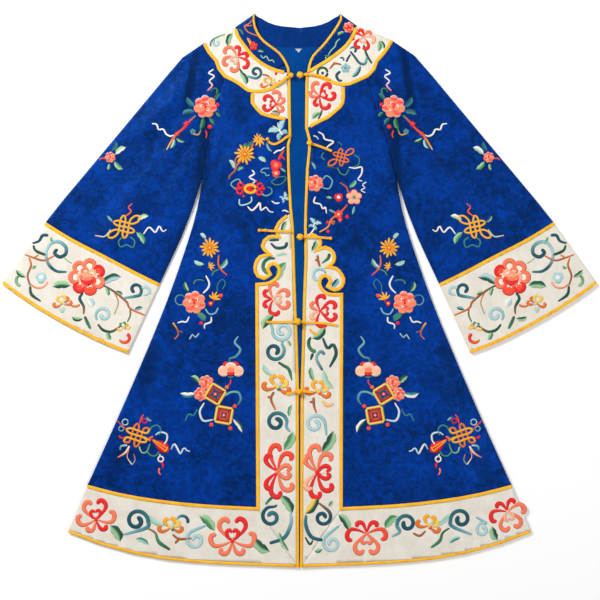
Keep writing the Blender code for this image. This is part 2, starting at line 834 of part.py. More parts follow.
def make_collar(side):
    swept(f"collar_{side.name}", collar_sections(side), COLLAR_SATIN, side.sign)
    sections = []
    for share, seam, top in collar_stations(side):
        inward = (seam - top).normalized()
        if share == 0.0:
            along = (collar_stations(side)[1][2] - top).normalized()
            top = top + along * FOLD_RADIUS
        if share == 1.0:
            inward = Vector((1.0, 0.0))
        low = FRONT_LOW + collar_rise(share)
        section = []
        for reach, up in STRIP_SECTION:
            place = top + inward * COLLAR_BINDING_WIDTH * (reach + 1) / 2
            section.append(Vector((place.x, place.y, low + up * BINDING_HEIGHT)))
        sections.append(section)
    swept(f"collar_binding_{side.name}", sections, GOLD_SATIN, side.sign)


# Cord frogs


def make_frog(name, table):
    knots = [Knot(*row) for row in table]
    path = rounded([Vector((k.x, k.y)) for k in knots], 7.0)
    marks = lengths(path)
    own = [marks[min(range(len(path)), key=lambda i: (path[i] - Vector((k.x, k.y))).length)] for k in knots]

    def blend(mark, pick):
        for i in range(len(knots) - 1):
            if mark <= own[i + 1] or i == len(knots) - 2:
                share = min(1.0, max(0.0, (mark - own[i]) / (own[i + 1] - own[i])))
                return pick(knots[i]) * (1 - share) + pick(knots[i + 1]) * share

    def radius_at(mark):
        radius = CORD_RADIUS
        for knot, place in zip(knots, own):
            if knot.radius > CORD_RADIUS and abs(mark - place) < knot.radius:
                radius = max(radius, math.sqrt(knot.radius**2 - (mark - place) ** 2))
        return radius

    ends = [knots[0].radius, knots[-1].radius]
    stops = [-ends[0] * 0.85, -ends[0] * 0.45, *marks, marks[-1] + ends[1] * 0.45, marks[-1] + ends[1] * 0.85]
    sections = []
    for stop in stops:
        inside = min(max(stop, 0.0), marks[-1])
        centre = at_share(path, (inside / marks[-1],))[0]
        before, after = at_share(path, ((inside - 1.0) / marks[-1], (inside + 1.0) / marks[-1]))
        way = (after - before).normalized()
        centre = centre + way * (stop - inside)
        widest = knots[0].radius if stop < 0 else knots[-1].radius
        past = abs(stop - inside)
        radius = math.sqrt(max(widest**2 - past**2, 0.1)) if past else radius_at(stop)
        low = blend(inside, lambda knot: knot.height) + fold_height(abs(centre.x), centre.y)
        middle = low + (widest if past else radius)
        square = Vector((-way.y, way.x))
        ring = []
        for i in range(CORD_SIDES):
            angle = 2 * math.pi * (i + 0.5) / CORD_SIDES
            place = centre + square * radius * math.cos(angle)
            ring.append(Vector((place.x, place.y, middle + radius * math.sin(angle))))
        sections.append(ring)
    swept(name, sections, GOLD_SATIN)


def main():
    for old in list(bpy.data.objects):
        bpy.data.objects.remove(old)
    make_back()
    for side in SIDES:
        make_front(side)
        make_sleeve(side)
        make_collar(side)
    for name, table in FROGS.items():
        make_frog(name, table)


main()
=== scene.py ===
"""Looks of an embroidered silk robe that lies flat, face up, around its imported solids.

Places are in millimetres in the robe's own plan: across (the wearer's left is positive) and up towards
the collar. Heights are above the surface that the robe lies on.
"""

import json
import math
from collections import namedtuple
from itertools import accumulate

import bmesh
import bpy
from bpy.props import FloatProperty, FloatVectorProperty, PointerProperty
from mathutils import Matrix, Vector, noise
from mathutils.bvhtree import BVHTree
from mathutils.kdtree import KDTree

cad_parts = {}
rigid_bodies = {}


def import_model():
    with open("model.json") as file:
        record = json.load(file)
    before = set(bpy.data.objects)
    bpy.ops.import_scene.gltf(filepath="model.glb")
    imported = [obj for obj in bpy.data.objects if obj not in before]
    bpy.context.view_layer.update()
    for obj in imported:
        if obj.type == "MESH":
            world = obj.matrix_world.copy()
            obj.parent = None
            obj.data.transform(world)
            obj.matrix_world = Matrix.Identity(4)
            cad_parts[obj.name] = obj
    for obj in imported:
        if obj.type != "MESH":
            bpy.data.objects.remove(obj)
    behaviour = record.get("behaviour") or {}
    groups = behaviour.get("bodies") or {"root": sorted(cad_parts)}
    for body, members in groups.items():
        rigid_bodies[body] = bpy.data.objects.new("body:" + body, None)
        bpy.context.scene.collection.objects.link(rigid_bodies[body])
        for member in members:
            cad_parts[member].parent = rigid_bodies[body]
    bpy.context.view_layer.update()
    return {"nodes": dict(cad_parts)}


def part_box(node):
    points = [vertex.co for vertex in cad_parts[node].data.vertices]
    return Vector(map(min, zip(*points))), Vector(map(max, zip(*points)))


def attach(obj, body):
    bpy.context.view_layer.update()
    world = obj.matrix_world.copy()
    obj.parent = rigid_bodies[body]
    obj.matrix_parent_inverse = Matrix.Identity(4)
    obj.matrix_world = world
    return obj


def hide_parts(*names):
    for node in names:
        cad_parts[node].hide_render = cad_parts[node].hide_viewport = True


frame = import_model()

bl_info = {
    "name": "Embroidered Robe",
    "version": (1, 0, 0),
    "blender": (4, 5, 0),
    "location": "3D View > Sidebar > Robe",
    "description": "Dresses the robe's solids in satin, silk, cord and needlework",
    "category": "Object",
}

MM = 0.001
SIDES = ("right", "left")
SIGN = {"right": -1, "left": 1}

# Layer heights, as the solids have them
FRONT_LOW = 3.2
FRONT_TOP = 4.8
TUBE_SLOT_TOP = 2.8
TUBE_MIDDLE = 2.4
TUBE_TRIM_PROUD = 0.8
ON_LINING = 3.2
ON_PANEL = 5.4
ON_TRIM = 6.85

# Spacing of the cuts that let the cloth crease, and how far from a tube's fold its creases reach full height
SATIN_GRID = 7.0
SILK_GRID = 8.0
TRIM_GRID = 6.0
FOLD_CLEARANCE = 30.0
# Points closer than these are one: in a solid, in metres, and in a new shape
MERGE = 1e-5
WELD = 1e-4
# How far off a cut's plane or a layer's level a point may lie, and a tube's fold from its middle
CUT_SLACK = 0.02
LEVEL_SLACK = 0.02
RIM_HALF = 0.35
# A face with more of its normal than this upright faces up or down
FACING = 0.3
SMOOTH_ANGLE = math.radians(42)
# Where rays that measure the cloth start
RAY_FROM = 200.0

# A soft ridge from one place to another: its foot reaches this width to either side
Fold = namedtuple("Fold", "x0 y0 x1 y1 width height")

# The folds that the solids have, the same on both halves
FOLDS = (
    Fold(205, 430, 330, 300, 34, 3.0),
    Fold(190, 370, 300, 215, 30, 2.6),
    Fold(205, 290, 270, 160, 26, 2.2),
    Fold(300, 240, 420, 40, 42, 2.6),
    Fold(175, 235, 95, 275, 24, 2.0),
    Fold(165, 170, 215, -250, 48, 2.6),
    Fold(120, -60, 170, -470, 44, 2.4),
    Fold(235, -60, 345, -450, 50, 3.0),
)

# Smaller creases raised in the upper layer, each on its own half
CREASES = (
    Fold(-196, 452, -206, 372, 9, 1.3),
    Fold(-222, 440, -236, 372, 8, 1.1),
    Fold(-244, 420, -262, 356, 9, 1.0),
    Fold(-200, 345, -190, 262, 11, 1.2),
    Fold(-214, 300, -204, 215, 10, 1.1),
    Fold(-268, 318, -304, 228, 10, 0.9),
    Fold(-288, 258, -352, 176, 11, 0.9),
    Fold(-330, 330, -398, 236, 10, 0.7),
    Fold(-240, 205, -300, 60, 12, 1.1),
    Fold(-400, 190, -470, 120, 10, 0.6),
    Fold(-146, 336, -174, 256, 11, 1.2),
    Fold(-118, 300, -150, 240, 8, 0.8),
    Fold(-172, 226, -196, 150, 11, 1.2),
    Fold(-140, 200, -186, 172, 8, 0.8),
    Fold(-120, 60, -175, 92, 9, 0.8),
    Fold(-225, 60, -236, -80, 11, 0.9),
    Fold(-265, -40, -300, -190, 12, 1.0),
    Fold(-95, -120, -112, -300, 9, 0.8),
    Fold(-320, -230, -372, -400, 13, 1.1),
    Fold(-205, -270, -214, -420, 10, 0.9),
    Fold(-60, -90, -52, -300, 7, 0.4),
    Fold(-300, -440, -310, -520, 9, 0.5),
    Fold(-170, -452, -176, -536, 8, 0.4),
    Fold(-142, 478, -168, 462, 6, 0.5),
    Fold(-108, 440, -98, 410, 6, 0.5),
    Fold(200, 455, 212, 366, 10, 1.3),
    Fold(226, 436, 244, 380, 8, 1.0),
    Fold(252, 412, 272, 344, 9, 1.0),
    Fold(196, 350, 186, 270, 12, 1.2),
    Fold(212, 296, 206, 226, 9, 1.0),
    Fold(276, 306, 316, 214, 11, 0.9),
    Fold(300, 240, 368, 168, 10, 0.9),
    Fold(340, 318, 410, 220, 9, 0.7),
    Fold(246, 196, 310, 48, 11, 1.0),
    Fold(392, 176, 450, 116, 9, 0.6),
    Fold(150, 330, 182, 244, 12, 1.2),
    Fold(124, 288, 146, 226, 8, 0.8),
    Fold(168, 214, 192, 138, 10, 1.1),
    Fold(132, 190, 180, 160, 8, 0.8),
    Fold(112, 40, 168, 80, 9, 0.9),
    Fold(218, 40, 234, -110, 11, 0.9),
    Fold(272, -60, 296, -220, 12, 1.0),
    Fold(98, -90, 118, -280, 9, 0.8),
    Fold(332, -250, 366, -384, 12, 1.0),
    Fold(198, -290, 208, -415, 10, 0.9),
    Fold(54, -110, 58, -290, 7, 0.4),
    Fold(290, -446, 304, -516, 9, 0.5),
    Fold(150, 476, 172, 456, 6, 0.5),
    Fold(112, 448, 100, 418, 6, 0.5),
)

# Painted shade in the valleys between folds, the same on both halves: the satin's colour is darkened there,
# and the cloth is not lowered. Here a height is how much light it is painted to lose.
PAINTED_SHADE_BANDS = (
    Fold(150, 446, 192, 318, 15, 0.8),
    Fold(182, 376, 199, 186, 21, 1.5),
    Fold(204, 492, 229, 346, 13, 2.0),
    Fold(228, 452, 238, 392, 8, 0.35),
    Fold(194, 222, 278, 12, 13, 0.5),
    Fold(204, 210, 214, 120, 18, 0.35),
    Fold(121, 140, 94, 62, 17, 0.4),
    Fold(160, 160, 128, 118, 16, 0.3),
    Fold(284, -96, 322, -236, 26, 0.6),
    Fold(352, -316, 384, -392, 26, 0.6),
    Fold(232, -180, 300, -210, 15, 0.3),
    Fold(200, 10, 206, -120, 16, 0.25),
    Fold(300, 250, 340, 190, 22, 0.2),
    Fold(380, 230, 330, 150, 16, 0.18),
    Fold(420, 205, 468, 118, 18, 0.16),
)
# Puckers all over: noise for each millimetre, height, seed
PUCKERS = ((0.055, 0.42, 3.1), (0.024, 0.55, 11.7))
# The collar: its waves, where they begin and how they ease in, the seam between its halves and the gap left
# there
COLLAR_WAVE = 0.5
COLLAR_LOW = 0.8
COLLAR_EASE = 2.0
COLLAR_SEAM = 0.5
COLLAR_GAP = 0.03
# The lining's centre seam
SEAM_RIDGE = 0.22
SEAM_X = -1.5
SEAM_WIDE = 3.0
# The lining's neck edge runs on over the collar's seam
NECK_HALF = 60.0
NECK_LOW = 482.0
NECK_REACH = 1.8
# Trim ends that run on to their neighbours: inside this box of across and up, moved by this much
RUN_ON = {
    "neck_trim_left": (0.0, 31.5, 438.0, 447.0, (-7.6, -4.8)),
    "collar_binding_left": (0.0, 22.0, 437.0, 439.0, (-0.8, -2.8)),
}

# The cord frogs as the solids have them: across, up, radius, height of the underside
Knot = namedtuple("Knot", "x y radius height")
# Half the width of a frog's two legs together
CORD = 2.1
# How much fuller the woven buttons stand than the solids' balls
BUTTON = 1.2
FROGS = {
    "frog_1_right": (
        (-49, 407, CORD, ON_TRIM), (-40, 413, CORD, ON_TRIM), (-32, 419, CORD, ON_TRIM),
        (-25, 425, CORD, ON_TRIM), (-17, 429, 4.2, ON_TRIM),
    ),
    "frog_1_left": (
        (1, 430, 5.4, ON_LINING), (11, 431, CORD, ON_TRIM), (22, 431, CORD, ON_TRIM),
        (40, 428, CORD, ON_TRIM), (61, 421, CORD, ON_TRIM),
    ),
    "frog_2_right": (
        (-64, 302, 3.4, ON_PANEL), (-59, 295, CORD, ON_PANEL), (-50, 292, CORD, ON_PANEL),
        (-38, 297, CORD, ON_PANEL), (-26, 306, CORD, ON_TRIM), (-19, 310, CORD, ON_TRIM),
    ),
    "frog_2_left": (
        (20, 294, 4.6, ON_TRIM), (30, 291, CORD, ON_TRIM), (45, 286, CORD, ON_PANEL),
        (65, 278, CORD, ON_PANEL),
    ),
    "frog_3_right": (
        (-80, 120, 3.4, ON_PANEL), (-74, 120, CORD, ON_PANEL), (-68, 120, 3.4, ON_PANEL),
        (-58, 119, CORD, ON_TRIM), (-37, 118, CORD, ON_TRIM), (-15, 118, CORD, ON_TRIM),
    ),
    "frog_3_left": (
        (1, 107, 5.4, ON_LINING), (10, 107, CORD, ON_TRIM), (37, 106, CORD, ON_TRIM),
        (50, 105, CORD, ON_TRIM), (62, 104, 3.4, ON_PANEL),
    ),
    "frog_4_right": (
        (-64, -63, 2.8, ON_PANEL), (-56, -63, CORD, ON_PANEL), (-22, -63, CORD, ON_PANEL),
        (-12, -63, CORD, ON_TRIM), (-4, -62, 5.6, ON_TRIM),
    ),
    "frog_4_left": (
        (6, -63, 3.2, ON_TRIM), (14, -64, CORD, ON_TRIM), (35, -65, CORD, ON_PANEL),
        (61, -67, CORD, ON_PANEL), (76, -70, CORD, ON_PANEL),
    ),
    "frog_5_right": (
        (-27, -207, CORD, ON_PANEL), (-16, -204, CORD, ON_TRIM), (-8, -202, CORD, ON_TRIM),
        (-1, -202, 4.6, ON_TRIM),
    ),
    "frog_5_left": (
        (7, -201, CORD, ON_TRIM), (16, -202, CORD, ON_TRIM), (28, -203, CORD, ON_PANEL),
    ),
}

# Camera, floor and light, in metres
VIEW_CENTRE = (0.001, -0.019)
VIEW_WIDTH = 1.2
LENS = 100.0
SENSOR = 36.0
FLOOR_HALF = 12.0
FLOOR_DROP = 0.0004
LIGHT_AIM = Vector((0.0, -0.05, 0.0))
# Area lights: place, size, power for the key light's
LIGHTS = {
    "key": ((-1.7, 1.7, 1.9), 1.0, 1.0),
    "side": ((1.9, -0.3, 2.4), 2.0, 0.3),
}


def linear(red, green, blue):
    """A colour of 0 to 255 a channel as linear light."""
    shares = (red / 255, green / 255, blue / 255)
    return tuple(c / 12.92 if c <= 10 / 255 else ((c + 0.055) / 1.055) ** 2.4 for c in shares)


def shaded(tint, *shares):
    """A colour with its channels scaled, all alike or each by its own share."""
    return tuple(c * s for c, s in zip(tint, shares * (4 - len(shares))))


# Settings


def colour(name, description, *rgb):
    return FloatVectorProperty(
        name=name, description=description, subtype="COLOR", size=3, min=0.0, max=1.0, default=linear(*rgb)
    )


class RobeClothSettings(bpy.types.PropertyGroup):
    """Colours and relief of the silks, trims and cords."""

    satin: colour("Satin", "Blue satin of the body and sleeves", 2, 54, 153)
    # The deep tone is the damask's ground, and also the painted shade in the crinkles' lows and, at a third,
    # in the valleys between folds.
    satin_deep: colour("Satin shade", "Blue satin in its damask's ground", 1, 24, 76)
    collar: colour("Collar satin", "Dark blue satin of the collar", 3, 44, 120)
    lining: colour("Lining", "Brighter blue silk of the lining", 0, 63, 134)
    ivory: colour("Ivory", "Ivory silk of the borders", 228, 223, 213)
    gold: colour("Gold satin", "Golden satin of trims and bindings", 254, 194, 34)
    tape: colour("Tape", "Pale tape at the back neck", 205, 205, 200)
    crinkle: FloatProperty(
        name="Crinkle", description="Depth of the satin's fine crinkles", subtype="DISTANCE",
        unit="LENGTH", min=0.0, max=0.004, default=0.0011,
    )


class RobeNeedleSettings(bpy.types.PropertyGroup):
    """How the needlework stands on the cloth."""

    padding: FloatProperty(
        name="Padding", description="How far satin stitch rounds up from the cloth", subtype="DISTANCE",
        unit="LENGTH", min=0.0001, max=0.002, default=0.0007,
    )
    thread: FloatProperty(
        name="Thread", description="Spacing of neighbouring stitches", subtype="DISTANCE",
        unit="LENGTH", min=0.0002, max=0.003, default=0.0011,
    )


class RobeStageSettings(bpy.types.PropertyGroup):
    """Floor and light."""

    floor: colour("Floor", "Pale floor under the robe", 250, 250, 250)
    key: FloatProperty(
        name="Key light", description="Power of the main soft light", unit="POWER", min=0.0, default=85.0
    )
    fill: FloatProperty(name="Sky", description="Strength of the even light around", min=0.0, default=0.45)


# Shader writing

QUARTER_TURN = math.pi / 2

# The tint of a silk's gloss: blue on the blue cloths, so that light doesn't grey them
BLUE_GLOSS = (0.06, 0.34, 1.0, 1.0)
WHITE_GLOSS = (1.0, 1.0, 1.0, 1.0)
GOLD_GLOSS = (1.0, 0.82, 0.4, 1.0)


class Sum:
    """A shader value that adds Math nodes as it is reckoned with."""

    def __init__(self, finish, socket):
        self.finish = finish
        self.socket = socket

    def _do(self, operation, *values):
        return self.finish.node("ShaderNodeMath", {"operation": operation}, dict(enumerate(values)))

    def __add__(self, other):
        return self._do("ADD", self, other)

    def __rsub__(self, other):
        return self._do("SUBTRACT", other, self)

    def __mul__(self, other):
        return self._do("MULTIPLY", self, other)

    def sine(self):
        return self._do("SINE", self)

    def between(self, low, high):
        """0 at low, 1 at high, smooth on the way."""
        sockets = {"Value": self, "From Min": low, "From Max": high}
        return self.finish.node("ShaderNodeMapRange", {"interpolation_type": "SMOOTHSTEP"}, sockets)


class Finish:
    """One material, written on its Principled shader."""

    def __init__(self, name, roughness, **constants):
        self.material = bpy.data.materials.new(name)
        self.material.use_nodes = True
        self.tree = self.material.node_tree
        self.shader = self.tree.nodes["Principled BSDF"]
        self.shader.inputs["Roughness"].default_value = roughness
        for socket, value in constants.items():
            self.shader.inputs[socket.replace("_", " ")].default_value = value

    def put(self, socket, value):
        if isinstance(value, Sum):
            value = value.socket
        if isinstance(value, bpy.types.NodeSocket):
            self.tree.links.new(value, socket)
        else:
            socket.default_value = value

    def node(self, kind, settings=None, sockets=None, out=0):
        """One node: its settings are set first, then the values or links of its sockets."""
        made = self.tree.nodes.new(kind)
        for key, value in (settings or {}).items():
            if key == "stops":
                ramp = made.color_ramp
                while len(ramp.elements) < len(value):
                    ramp.elements.new(0.5)
                for element, (place, tint) in zip(ramp.elements, value):
                    element.position = place
                    element.color = (*tint, 1.0)
            else:
                setattr(made, key, value)
        for key, value in (sockets or {}).items():
            self.put(made.inputs[key], value)
        return Sum(self, made.outputs[out])

    def mix(self, share, first, second):
        """A colour between two colours."""
        sockets = {0: share, 6: self._rgba(first), 7: self._rgba(second)}
        return self.node("ShaderNodeMix", {"data_type": "RGBA"}, sockets, 2)

    @staticmethod
    def _rgba(tint):
        return tint if isinstance(tint, Sum) else (*tint, 1.0)

    def place(self, scale=1.0, turn=0.0, stretch=(1.0, 1.0, 1.0)):
        """The object's own coordinates, scaled and turned."""
        own = self.node("ShaderNodeTexCoord", out=3)
        sockets = {"Vector": own, "Rotation": (0.0, 0.0, turn), "Scale": [scale * s for s in stretch]}
        return self.node("ShaderNodeMapping", sockets=sockets)

    def grain(self, scale, detail=2.0, warp=0.0, place=None, rough=0.5):
        sockets = {"Scale": scale, "Detail": detail, "Distortion": warp, "Roughness": rough}
        sockets["Vector"] = place or self.place()
        return self.node("ShaderNodeTexNoise", sockets=sockets)

    def cells(self, scale):
        sockets = {"Scale": scale, "Vector": self.place()}
        return self.node("ShaderNodeTexVoronoi", {"feature": "SMOOTH_F1"}, sockets)

    def waves(self, scale, place, warp=0.0):
        sockets = {"Scale": scale, "Distortion": warp, "Detail": 1.0, "Vector": place}
        return self.node("ShaderNodeTexWave", {"wave_type": "BANDS", "bands_direction": "X"}, sockets)

    def relief(self, height, distance, strength=1.0, under=None):
        sockets = {"Height": height, "Distance": distance, "Strength": strength}
        if under:
            sockets["Normal"] = under
        return self.node("ShaderNodeBump", sockets=sockets)

    def finish(self, **sockets):
        for name, value in sockets.items():
            self.put(self.shader.inputs[name.replace("_", " ")], value)
        return self.material


def damask(made, scale):
    """Tonal scrolls: rings round scattered centres, bent by a slow noise, with leaf-like breaks."""
    drift = made.grain(scale * 0.9, 1.0)
    rings = made.cells(scale) * 34.0 + drift * 9.0
    scrolls = rings.sine().between(-0.1, 0.5)
    breaks = made.grain(scale * 3.4, 1.0, 0.8).between(0.42, 0.56)
    return scrolls * breaks


def satin_finish(name, light, deep, crinkle, roughness=0.44):
    """Silk satin damask: a tonal pattern, crinkles and a fine warp, with painted light and shade: lighter on
    the crinkles' crests, darker in their lows and in the valleys between folds.
    """
    made = Finish(name, roughness, Specular_IOR_Level=0.5, Specular_Tint=BLUE_GLOSS)
    pattern = damask(made, 21.0)
    crease = made.grain(58.0, 3.0, 1.6, rough=0.55)
    broad = made.grain(11.0, 2.0, 0.6)
    warp = made.waves(620.0, made.place(1.0, 0.0, (1.0, 0.12, 1.0)), 0.6)
    # Painted light and shade: the crinkle noise that makes the bump also lightens the colour on its crests
    # and darkens it in its lows. The damask and the broad clouding are the cloth's own tone.
    tone = pattern * 0.24 + crease.between(0.38, 0.64) * 0.42 + broad.between(0.36, 0.64) * 0.34
    painted_shade_share = made.node("ShaderNodeAttribute", {"attribute_name": "hollow"}, out=2)
    # Painted shade: where the per-vertex attribute is high, the colour falls towards a third of the deep
    # tone.
    tint = made.mix(painted_shade_share * 0.8, made.mix(tone, deep, light), shaded(deep, 0.3))
    low = made.relief(crease, crinkle, 0.85)
    high = made.relief(pattern + warp * 0.25, 0.00012, 0.7, low)
    return made.finish(Base_Color=tint, Roughness=roughness + 0.1 - pattern * 0.16, Normal=high)


def silk_finish(name, tint, shade, roughness, fold=0.0007, gloss=WHITE_GLOSS):
    """Plain silk: a faint plain weave, soft clouding and small wrinkles, with painted shade in the wrinkles'
    lows.
    """
    made = Finish(name, roughness, Specular_IOR_Level=0.3, Specular_Tint=gloss)
    cloud = made.grain(26.0, 3.0, 0.5)
    wrinkle = made.grain(46.0, 2.0, 2.2, made.place(1.0, 0.5, (1.0, 0.55, 1.0)))
    weave = made.waves(820.0, made.place()) + made.waves(820.0, made.place(1.0, QUARTER_TURN))
    # The clouding is the silk's own uneven tone; the wrinkle noise that makes the bump also darkens the
    # colour in its lows, a painted shade.
    blotch = cloud.between(0.3, 0.72) * 0.6 + wrinkle.between(0.3, 0.7) * 0.4
    low = made.relief(wrinkle, fold, 0.8)
    high = made.relief(weave, 0.00006, 0.6, low)
    return made.finish(
        Base_Color=made.mix(blotch, shade, tint), Roughness=roughness + 0.08 - weave * 0.05, Normal=high
    )


def gold_finish(name, tint, shade):
    """Ribbed golden satin: slanting ribs with painted shade in their grooves, worn paler in places."""
    made = Finish(name, 0.42, Specular_IOR_Level=0.4, Specular_Tint=GOLD_GLOSS)
    ribs = made.waves(420.0, made.place(1.0, 0.9))
    cross = made.waves(260.0, made.place(1.0, -0.7))
    worn = made.grain(60.0, 3.0)
    # Painted shade: the ribs that make the bump also darken the colour in their grooves; the worn noise is
    # the satin's own uneven tone.
    tone = ribs * 0.35 + worn.between(0.25, 0.7) * 0.65
    high = made.relief(ribs + cross * 0.5, 0.00018, 0.8)
    return made.finish(Base_Color=made.mix(tone, shade, tint), Roughness=0.5 - ribs * 0.16, Normal=high)


def cord_finish(name, tint, shade):
    """Wound silk cord: slanting turns that follow each cord's own length, with painted shade between them.
    """
    made = Finish(name, 0.42, Specular_IOR_Level=0.45, Specular_Tint=GOLD_GLOSS)
    lay = made.node("ShaderNodeAttribute", {"attribute_name": "stitch"}, out=1)
    along = made.node("ShaderNodeSeparateXYZ", sockets={0: lay})
    around = made.node("ShaderNodeSeparateXYZ", sockets={0: lay}, out=1)
    turns = (along * 2400.0 + around * 1500.0).sine() * 0.5 + 0.5
    # Painted shade: the turns that make the bump also darken the colour between them.
    tone = turns * 0.5 + made.grain(90.0, 2.0) * 0.5
    high = made.relief(turns, 0.0003, 0.8)
    return made.finish(Base_Color=made.mix(tone, shade, tint), Roughness=0.52 - turns * 0.16, Normal=high)


def floss_finish(name, thread):
    """Silk floss in satin stitch: dyed as the needlework says, threads side by side across each shape, with
    painted shade between neighbouring threads.
    """
    made = Finish(name, 0.4, Sheen_Weight=0.04, Sheen_Roughness=0.35, Specular_IOR_Level=0.28)
    dye = made.node("ShaderNodeAttribute", {"attribute_name": "floss"})
    lay = made.node("ShaderNodeAttribute", {"attribute_name": "stitch"}, out=1)
    along = made.node("ShaderNodeSeparateXYZ", sockets={0: lay})
    strand = (along * (2 * math.pi / thread)).sine() * 0.5 + 0.5
    fray = made.grain(700.0, 2.0)
    # Painted shade: the colour darkens towards black between threads, where the strand bump is low; the fray
    # noise is the floss's own uneven tone.
    shade = made.mix(0.1 - strand * 0.12 + fray * 0.08, dye, (0.0, 0.0, 0.0))
    high = made.relief(strand + fray * 0.6, thread * 0.22, 0.7)
    return made.finish(Base_Color=shade, Roughness=0.52 - strand * 0.16, Normal=high)


def tape_finish(name, tint):
    """Woven cotton tape, with painted shade in the lows of its weave."""
    made = Finish(name, 0.75, Sheen_Weight=0.1)
    weave = made.waves(500.0, made.place()) + made.waves(500.0, made.place(1.0, QUARTER_TURN))
    # Painted shade: the weave that makes the bump also darkens the colour in its lows; the grain is the
    # tape's own uneven tone.
    tone = made.mix(made.grain(120.0) * 0.5 + weave * 0.25, shaded(tint, 0.7), tint)
    return made.finish(Base_Color=tone, Normal=made.relief(weave, 0.00012))


def all_finishes():
    """Every finish by its slot, made once."""
    cloth = bpy.context.scene.robe_cloth
    needle = bpy.context.scene.robe_needle
    satin, collar, lining = tuple(cloth.satin), tuple(cloth.collar), tuple(cloth.lining)
    ivory, gold = tuple(cloth.ivory), tuple(cloth.gold)
    # Amber is the gold's darker tone: its worn places, and the painted shade in the ribs' grooves and
    # between the cord's turns.
    amber = shaded(gold, 0.92, 0.72, 0.6)
    return {
        "robe_satin": satin_finish("Blue satin damask", satin, tuple(cloth.satin_deep), cloth.crinkle),
        # The collar's deep tone is its damask ground and the painted shade in its crinkles' lows.
        "collar_satin": satin_finish("Collar satin", collar, shaded(collar, 0.6), cloth.crinkle),
        # The darker tones of the lining and the ivory serve their clouding and the painted shade in their
        # wrinkles.
        "lining_silk": silk_finish("Lining silk", lining, shaded(lining, 0.72), 0.45, 0.0005, BLUE_GLOSS),
        "ivory_silk": silk_finish("Ivory silk", ivory, shaded(ivory, 0.88, 0.85, 0.8), 0.5),
        "gold_satin": gold_finish("Golden satin", gold, amber),
        "gold_cord": cord_finish("Golden cord", gold, amber),
        "pale_tape": tape_finish("Pale tape", tuple(cloth.tape)),
        "floss": floss_finish("Silk floss", needle.thread),
    }


FINISHES = {}


def finish_of(slot):
    """A slot's finish, or the floss."""
    if not FINISHES:
        FINISHES.update(all_finishes())
    return FINISHES[slot]


# Height of the laid cloth


def ridge(fold, x, y):
    """How high one soft ridge stands at a place, or nothing outside it."""
    dx, dy = fold.x1 - fold.x0, fold.y1 - fold.y0
    squared = dx * dx + dy * dy
    share = ((x - fold.x0) * dx + (y - fold.y0) * dy) / squared
    if not 0.0 < share < 1.0:
        return 0.0
    across = abs((x - fold.x0) * dy - (y - fold.y0) * dx) / math.sqrt(squared) / fold.width
    if across >= 1.0:
        return 0.0
    return fold.height * math.sin(math.pi * share) ** 0.7 * math.cos(math.pi / 2 * across) ** 2


def folds(x, y):
    """The lift of the solids' own folds."""
    return max(ridge(fold, abs(x), y) for fold in FOLDS)


def creases(x, y):
    """The lift of the smaller creases and puckers, never below the solids."""
    lift = 0.0
    for crease in CREASES:
        if crease.x0 * x > 0.0:
            lift += ridge(crease, x, y)
    for pitch, height, seed in PUCKERS:
        lift += height * (0.5 + 0.5 * noise.noise(Vector((x * pitch, y * pitch, seed))))
    return lift


def hollow(x, y):
    """How much painted shade darkens the satin's colour at a place, 0 to 1."""
    return min(1.0, sum(ridge(fold, abs(x), y) for fold in PAINTED_SHADE_BANDS))


class Ground:
    """The top of some pieces, asked at any place by a ray from above."""

    def __init__(self, objects):
        corners = []
        faces = []
        for piece in objects:
            start = len(corners)
            corners += [vert.co / MM for vert in piece.data.vertices]
            faces += [[start + i for i in face.vertices] for face in piece.data.polygons]
        self.tree = BVHTree.FromPolygons(corners, faces)

    def height(self, x, y):
        hit = self.tree.ray_cast(Vector((x, y, RAY_FROM)), Vector((0.0, 0.0, -1.0)))[0]
        return None if hit is None else hit.z


# Making pieces


def keep(name, bm, slot, nodes=(), finish=None, smooth=SMOOTH_ANGLE):
    """A mesh in millimetres as a finished piece that rides on the robe and stands for these nodes."""
    bmesh.ops.scale(bm, vec=(MM, MM, MM), verts=bm.verts[:])
    mesh = bpy.data.meshes.new(name)
    bm.to_mesh(mesh)
    bm.free()
    mesh.shade_smooth()
    if smooth:
        mesh.set_sharp_from_angle(angle=smooth)
    mesh.materials.append(finish_of(finish or slot))
    piece = bpy.data.objects.new(name, mesh)
    bpy.context.scene.collection.objects.link(piece)
    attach(piece, "root")
    if nodes:
        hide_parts(*nodes)
    return piece


def copied(node):
    """A solid's mesh in millimetres, its loose triangles joined."""
    bm = bmesh.new()
    bm.from_mesh(frame["nodes"][node].data)
    bmesh.ops.remove_doubles(bm, verts=bm.verts[:], dist=MERGE)
    bmesh.ops.scale(bm, vec=(1 / MM, 1 / MM, 1 / MM), verts=bm.verts[:])
    return bm


def cut(bm, place, normal):
    """Cut every face that a plane meets."""
    geom = bm.verts[:] + bm.edges[:] + bm.faces[:]
    bmesh.ops.bisect_plane(bm, geom=geom, dist=CUT_SLACK, plane_co=place, plane_no=normal)


def cut_on_grid(bm, spacing):
    """Cut a piece across and along, so that it can bend."""
    for axis in (0, 1):
        low = min(v.co[axis] for v in bm.verts)
        high = max(v.co[axis] for v in bm.verts)
        normal = Vector((0.0, 0.0, 0.0))
        normal[axis] = 1.0
        for line in range(math.ceil(low / spacing), math.ceil(high / spacing)):
            cut(bm, normal * line * spacing, normal)
    bm.normal_update()


def faces_up(vert):
    """Whether a point is on an upper side, its edge too."""
    return any(face.normal.z > FACING for face in vert.link_faces)


def faces_down(vert):
    return any(face.normal.z < -FACING for face in vert.link_faces)


